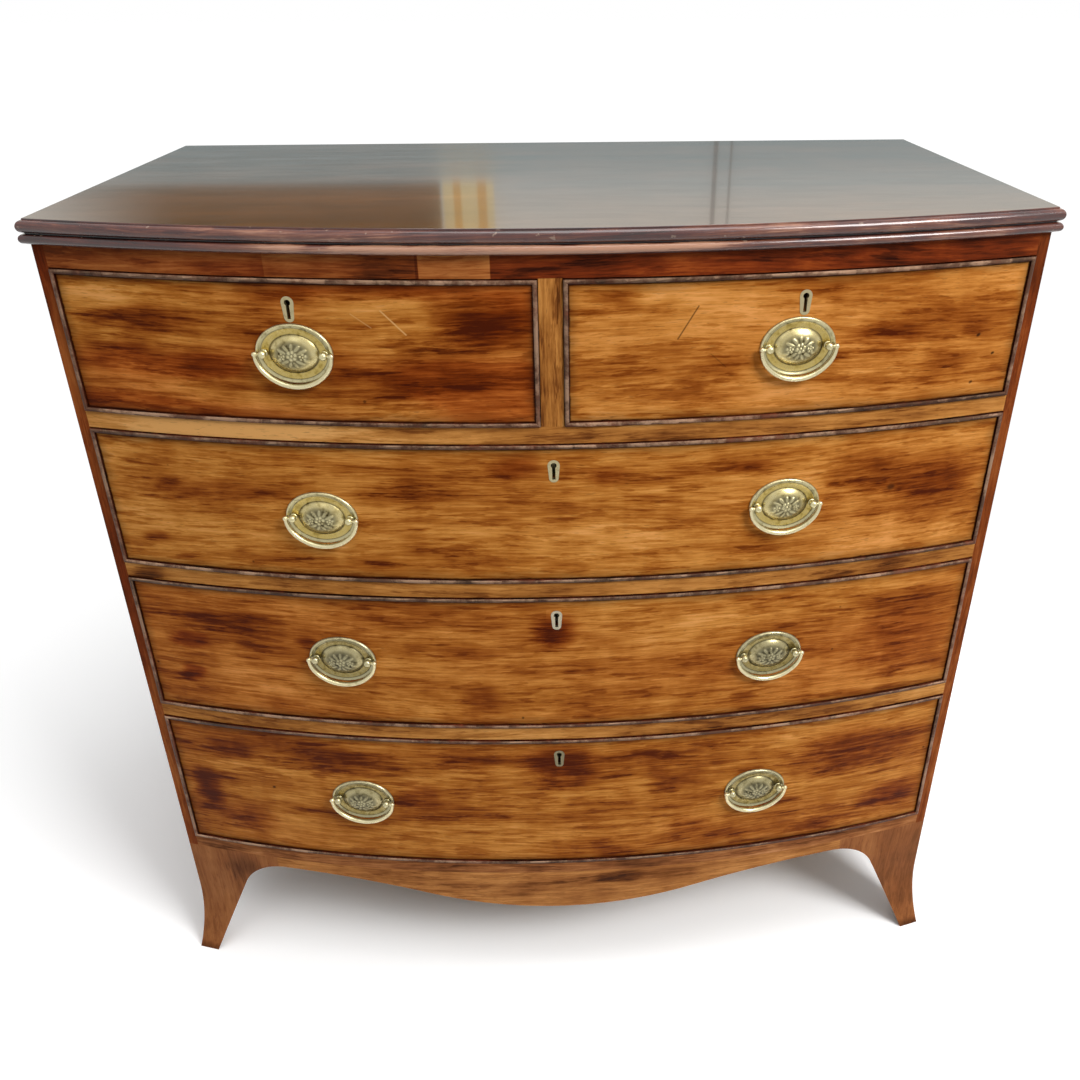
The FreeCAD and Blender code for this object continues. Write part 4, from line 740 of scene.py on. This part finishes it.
def bail_path():
    """The bail's line from one pivot to the other: a shoulder, a wide belly and a shoulder."""
    shoulder = 0.36 * 2 * BAIL_APART
    arm = BAIL_APART - shoulder
    belly = (arm ** 2 + BAIL_DROP ** 2 - shoulder ** 2) / (2 * (BAIL_DROP - shoulder))
    turn = math.atan(arm / (belly - BAIL_DROP))
    line = [(-arm - shoulder * math.cos(a), 0.0, -shoulder * math.sin(a))
            for a in np.linspace(0, math.pi / 2 - turn, 18)]
    line += [(belly * math.sin(a), 0.0, belly - BAIL_DROP - belly * math.cos(a))
             for a in np.linspace(-turn, turn, 40)[1:]]
    line += [(arm + shoulder * math.cos(a), 0.0, -shoulder * math.sin(a))
             for a in np.linspace(math.pi / 2 - turn, 0, 18)[1:]]
    return line


def turned_end(side):
    """The ball and pin at one end of a bail, turned about the line of its pivot."""
    outline = [(1.4, POST_APART), (1.4, BAIL_APART - 3.0), (2.0, BAIL_APART - 2.6)]
    outline += [(2.9 * math.cos(a), BAIL_APART + 2.9 * math.sin(a)) for a in np.linspace(-0.75, 1.45, 9)]
    points, faces = lathe(outline, 0.0, 20)
    return points[:, [1, 0, 2]] * (side, 1, 1), faces


def gathered(parts):
    """Several (points, faces) as one."""
    points, faces = [], []
    for part_points, part_faces in parts:
        first = sum(len(block) for block in points)
        points.append(np.asarray(part_points))
        faces += [[first + corner for corner in face] for face in part_faces]
    return np.concatenate(points), faces


bright_brass = brass("bright_brass", "c4bb92", "b2984a", "342b12", 0.28)
dull_brass = brass("dull_brass", "b2aa86", "837038", "1c170a", 0.28)
bail_brass = brass("bail_brass", "cdc39c", "c0b07c", "80764c", 0.30)
plate_points, plate_faces, plate_hollow, plate_dish = oval_plate()
fixings = gathered([lathe(POST, side * POST_APART) for side in (-1, 1)]
                   + [lathe(NUT, side * POST_APART, 6) for side in (-1, 1)])
swell = [1.9 + 0.85 * math.sin(math.pi * i / 73) ** 0.8 for i in range(74)]
bail_parts = gathered([swept(bail_path(), swell), turned_end(-1), turned_end(1)])
plates = {drawer: [] for drawer in FRONTS}
for joint in frame["joints"]:
    if joint["type"] != "hinge":
        continue
    across = -Vector(joint["axis"])
    outward = Vector((across.y, -across.x, 0))
    turn = np.array([across, outward, (0, 0, 1)])
    pivot = np.array(joint["pos_m"])
    new_piece(joint["child"] + "_brass", pivot + MM * bail_parts[0] @ turn, bail_parts[1], bail_brass,
              joint["child"], "brass", joint["child"])
    points, faces = gathered([(plate_points, plate_faces), fixings])
    plates[joint["parent"]].append((pivot + MM * (points - (0, PIVOT_OUT, 0)) @ turn, faces))
spare = np.zeros(len(fixings[0]))
for drawer, parts in plates.items():
    points, faces = gathered(parts)
    look = dull_brass if drawer in ("middle_long_drawer", "lower_long_drawer") else bright_brass
    piece = new_piece(drawer + "_plates_brass", points, faces, look, drawer, "brass",
                      drawer + "_handle_plates", crease=1.0)
    for layer, values in (("hollow", plate_hollow), ("dish", plate_dish)):
        attribute = piece.data.attributes.new(layer, "FLOAT", "POINT")
        attribute.data.foreach_set("value", np.tile(np.concatenate([values, spare]), len(parts)))

# ---------------------------------------------------------------- locks
# Brass locks let into the back of the fronts, brass threads round the keyholes, and iron bolts.
# The thread of the lowest drawer has gone grey.
CLEAN_LOCK, DULL_LOCK, GREY_LOCK = ("aca07c", "968760", "5c5034"), ("a79e88", "94865f", "665b40"), \
    ("766e56", "66593a", "413c2e")
for drawer, look in zip(FRONTS, (CLEAN_LOCK, CLEAN_LOCK, CLEAN_LOCK, DULL_LOCK, GREY_LOCK)):
    finish_node(brass(drawer + "_lock_brass", *look, 0.4), drawer + "_lock")
finish_node(brass("bolt_iron", "6e6c68", "6e6c68", "45403b", 0.45), *[drawer + "_lock_bolt" for drawer in FRONTS])
